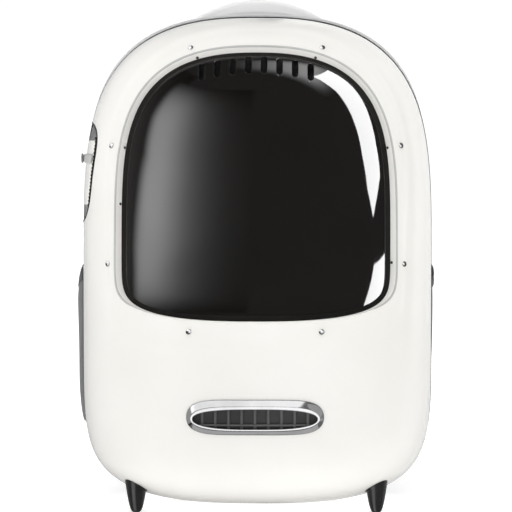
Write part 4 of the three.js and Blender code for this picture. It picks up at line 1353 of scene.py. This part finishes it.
def round_panel(name, rows, material, distance=1.8):
    """A curved panel round the object; each row is (elevation, first azimuth, last azimuth)."""
    given, first, last = np.array(rows, float).T
    elevation = np.linspace(given[0], given[-1], 49)
    across = np.linspace(0, 1, 25)[None]
    edges = [np.interp(elevation, given, edge)[:, None] for edge in (first, last)]
    azimuth = mix(*edges, across)
    points = direction(azimuth, elevation[:, None] + 0 * across) * distance
    return glow_panel(name, points + np.array(CAMERA.target) * MM, material)


def soft_light(name, azimuth, elevation, distance, size, energy):
    """A broad soft lamp that lights the object and doesn't show in its gloss."""
    data = bpy.data.lights.new(name, "AREA")
    data.shape = "SQUARE"
    data.size = size
    data.energy = energy
    lamp = add_object(name, data)
    away = Vector(direction(azimuth, elevation))
    lamp.location = Vector(CAMERA.target) * MM + away * distance
    lamp.rotation_euler = away.to_track_quat("Z", "Y").to_euler()
    lamp.visible_camera = False
    lamp.visible_glossy = False
    return lamp


def link_light(source, pieces, state):
    """Lets a light reach the pieces alone, with INCLUDE, or all but them, with EXCLUDE."""
    group = bpy.data.collections.new(f"{source.name}_pieces")
    for piece in pieces:
        group.objects.link(piece)
    for entry in group.collection_objects:
        entry.light_linking.link_state = state
    source.light_linking.receiver_collection = group


def metal_light(name, pieces, azimuth, elevation, size, energy):
    """A window of light that some of the fittings alone show."""
    lamp = soft_light(name, azimuth, elevation, 1.5, size[0], energy)
    lamp.data.shape = "RECTANGLE"
    lamp.data.size_y = size[1]
    lamp.visible_glossy = True
    link_light(lamp, pieces, "INCLUDE")


def window_panels(window):
    """Panels that show in the window alone: a soft one on the left, two strips on the right, one above."""
    x = np.linspace(-0.16, 0.84, 33)[None]
    y = mix(-0.47 - 0.72 * x, -0.02 - 0.08 * x, np.linspace(0, 1, 25)[:, None])
    overhead = np.stack([x + 0 * y, y, np.full_like(y, 2.05)], axis=-1)
    for panel in (
        round_panel("left_panel", LEFT_PANEL, glowing("left_glow", 6.3, LEFT_ACROSS, LEFT_UP)),
        round_panel("right_strip", RIGHT_STRIP, glowing("right_glow", 22)),
        round_panel("right_low", RIGHT_LOW, glowing("low_glow", 22)),
        glow_panel("top_panel", overhead, glowing("top_glow", 5.1, TOP_ACROSS, TOP_UP)),
    ):
        link_light(panel, window, "INCLUDE")


def shell_panels(metal):
    """Broad panels beside and behind the object, which show in the shells' gloss and not in the metal."""
    for name, rows, strength, across in (
        ("shell_left", SHELL_LEFT, 0.65, SHELL_LEFT_ACROSS),
        ("shell_right", SHELL_RIGHT, 1.0, SHELL_RIGHT_ACROSS),
    ):
        panel = round_panel(name, rows, glowing(f"{name}_glow", strength, across, SHELL_UP), 2.6)
        link_light(panel, metal, "EXCLUDE")


def add_floor():
    mesh = bpy.data.meshes.new("floor")
    reach = 6.0
    corners = [(-reach, -reach, 0), (reach, -reach, 0), (reach, reach, 0), (-reach, reach, 0)]
    mesh.from_pydata(corners, [], [(0, 1, 2, 3)])
    mesh.materials.append(studio_floor("studio_floor"))
    floor = add_object("floor", mesh)
    floor.visible_glossy = False
    floor.visible_shadow = False


def named(start):
    return [piece for piece in bpy.data.objects if piece.name.startswith(start)]


def add_lights():
    frame_ring, rivets = named("grille_ring"), named("rivet_")
    corners = [piece.bound_box[0] for piece in rivets]
    pale = [piece for piece, low in zip(rivets, corners) if low[0] < -0.1 or low[2] > 0.38]
    fittings = {
        "metal": frame_ring + rivets, "frame": frame_ring, "rivets": rivets, "feet": named("peg_"),
        "pale_rivets": pale, "dark_rivets": [piece for piece in rivets if piece not in pale],
    }
    window_panels(named("window_smoke"))
    shell_panels(fittings["metal"])
    for name, group, azimuth, elevation, size, energy in FITTING_LAMPS:
        metal_light(name, fittings[group], azimuth, elevation, size, energy)
    for lamp in SOFT_LAMPS:
        soft_light(*lamp)


def add_world():
    """A room that is dimmer behind the object, darker still in the gloss, and white round the picture."""
    world = bpy.data.worlds.new("studio")
    bpy.context.scene.world = world
    world.use_nodes = True
    nodes = Nodes(world.node_tree)
    room = nodes.tree.nodes["Background"]
    nodes.feed(room.inputs["Color"], nodes.span(nodes.split("Generated")["Y"], 0.37, 0.16, -0.3, 0.7))
    shown = room.outputs[0]
    rays = nodes.node("LightPath").outputs
    for ray, level in (("Is Glossy Ray", 0.13), ("Is Camera Ray", 1.1)):
        layer = nodes.node("Background", Color=(level, level, level, 1))
        blend = nodes.node("MixShader")
        for socket, value in zip(blend.inputs, (rays[ray], shown, layer.outputs[0])):
            nodes.feed(socket, value)
        shown = blend.outputs[0]
    nodes.feed(nodes.tree.nodes["World Output"].inputs["Surface"], shown)
    bpy.context.scene.view_settings.view_transform = "Standard"


add_camera()
build()
add_floor()
add_lights()
add_world()
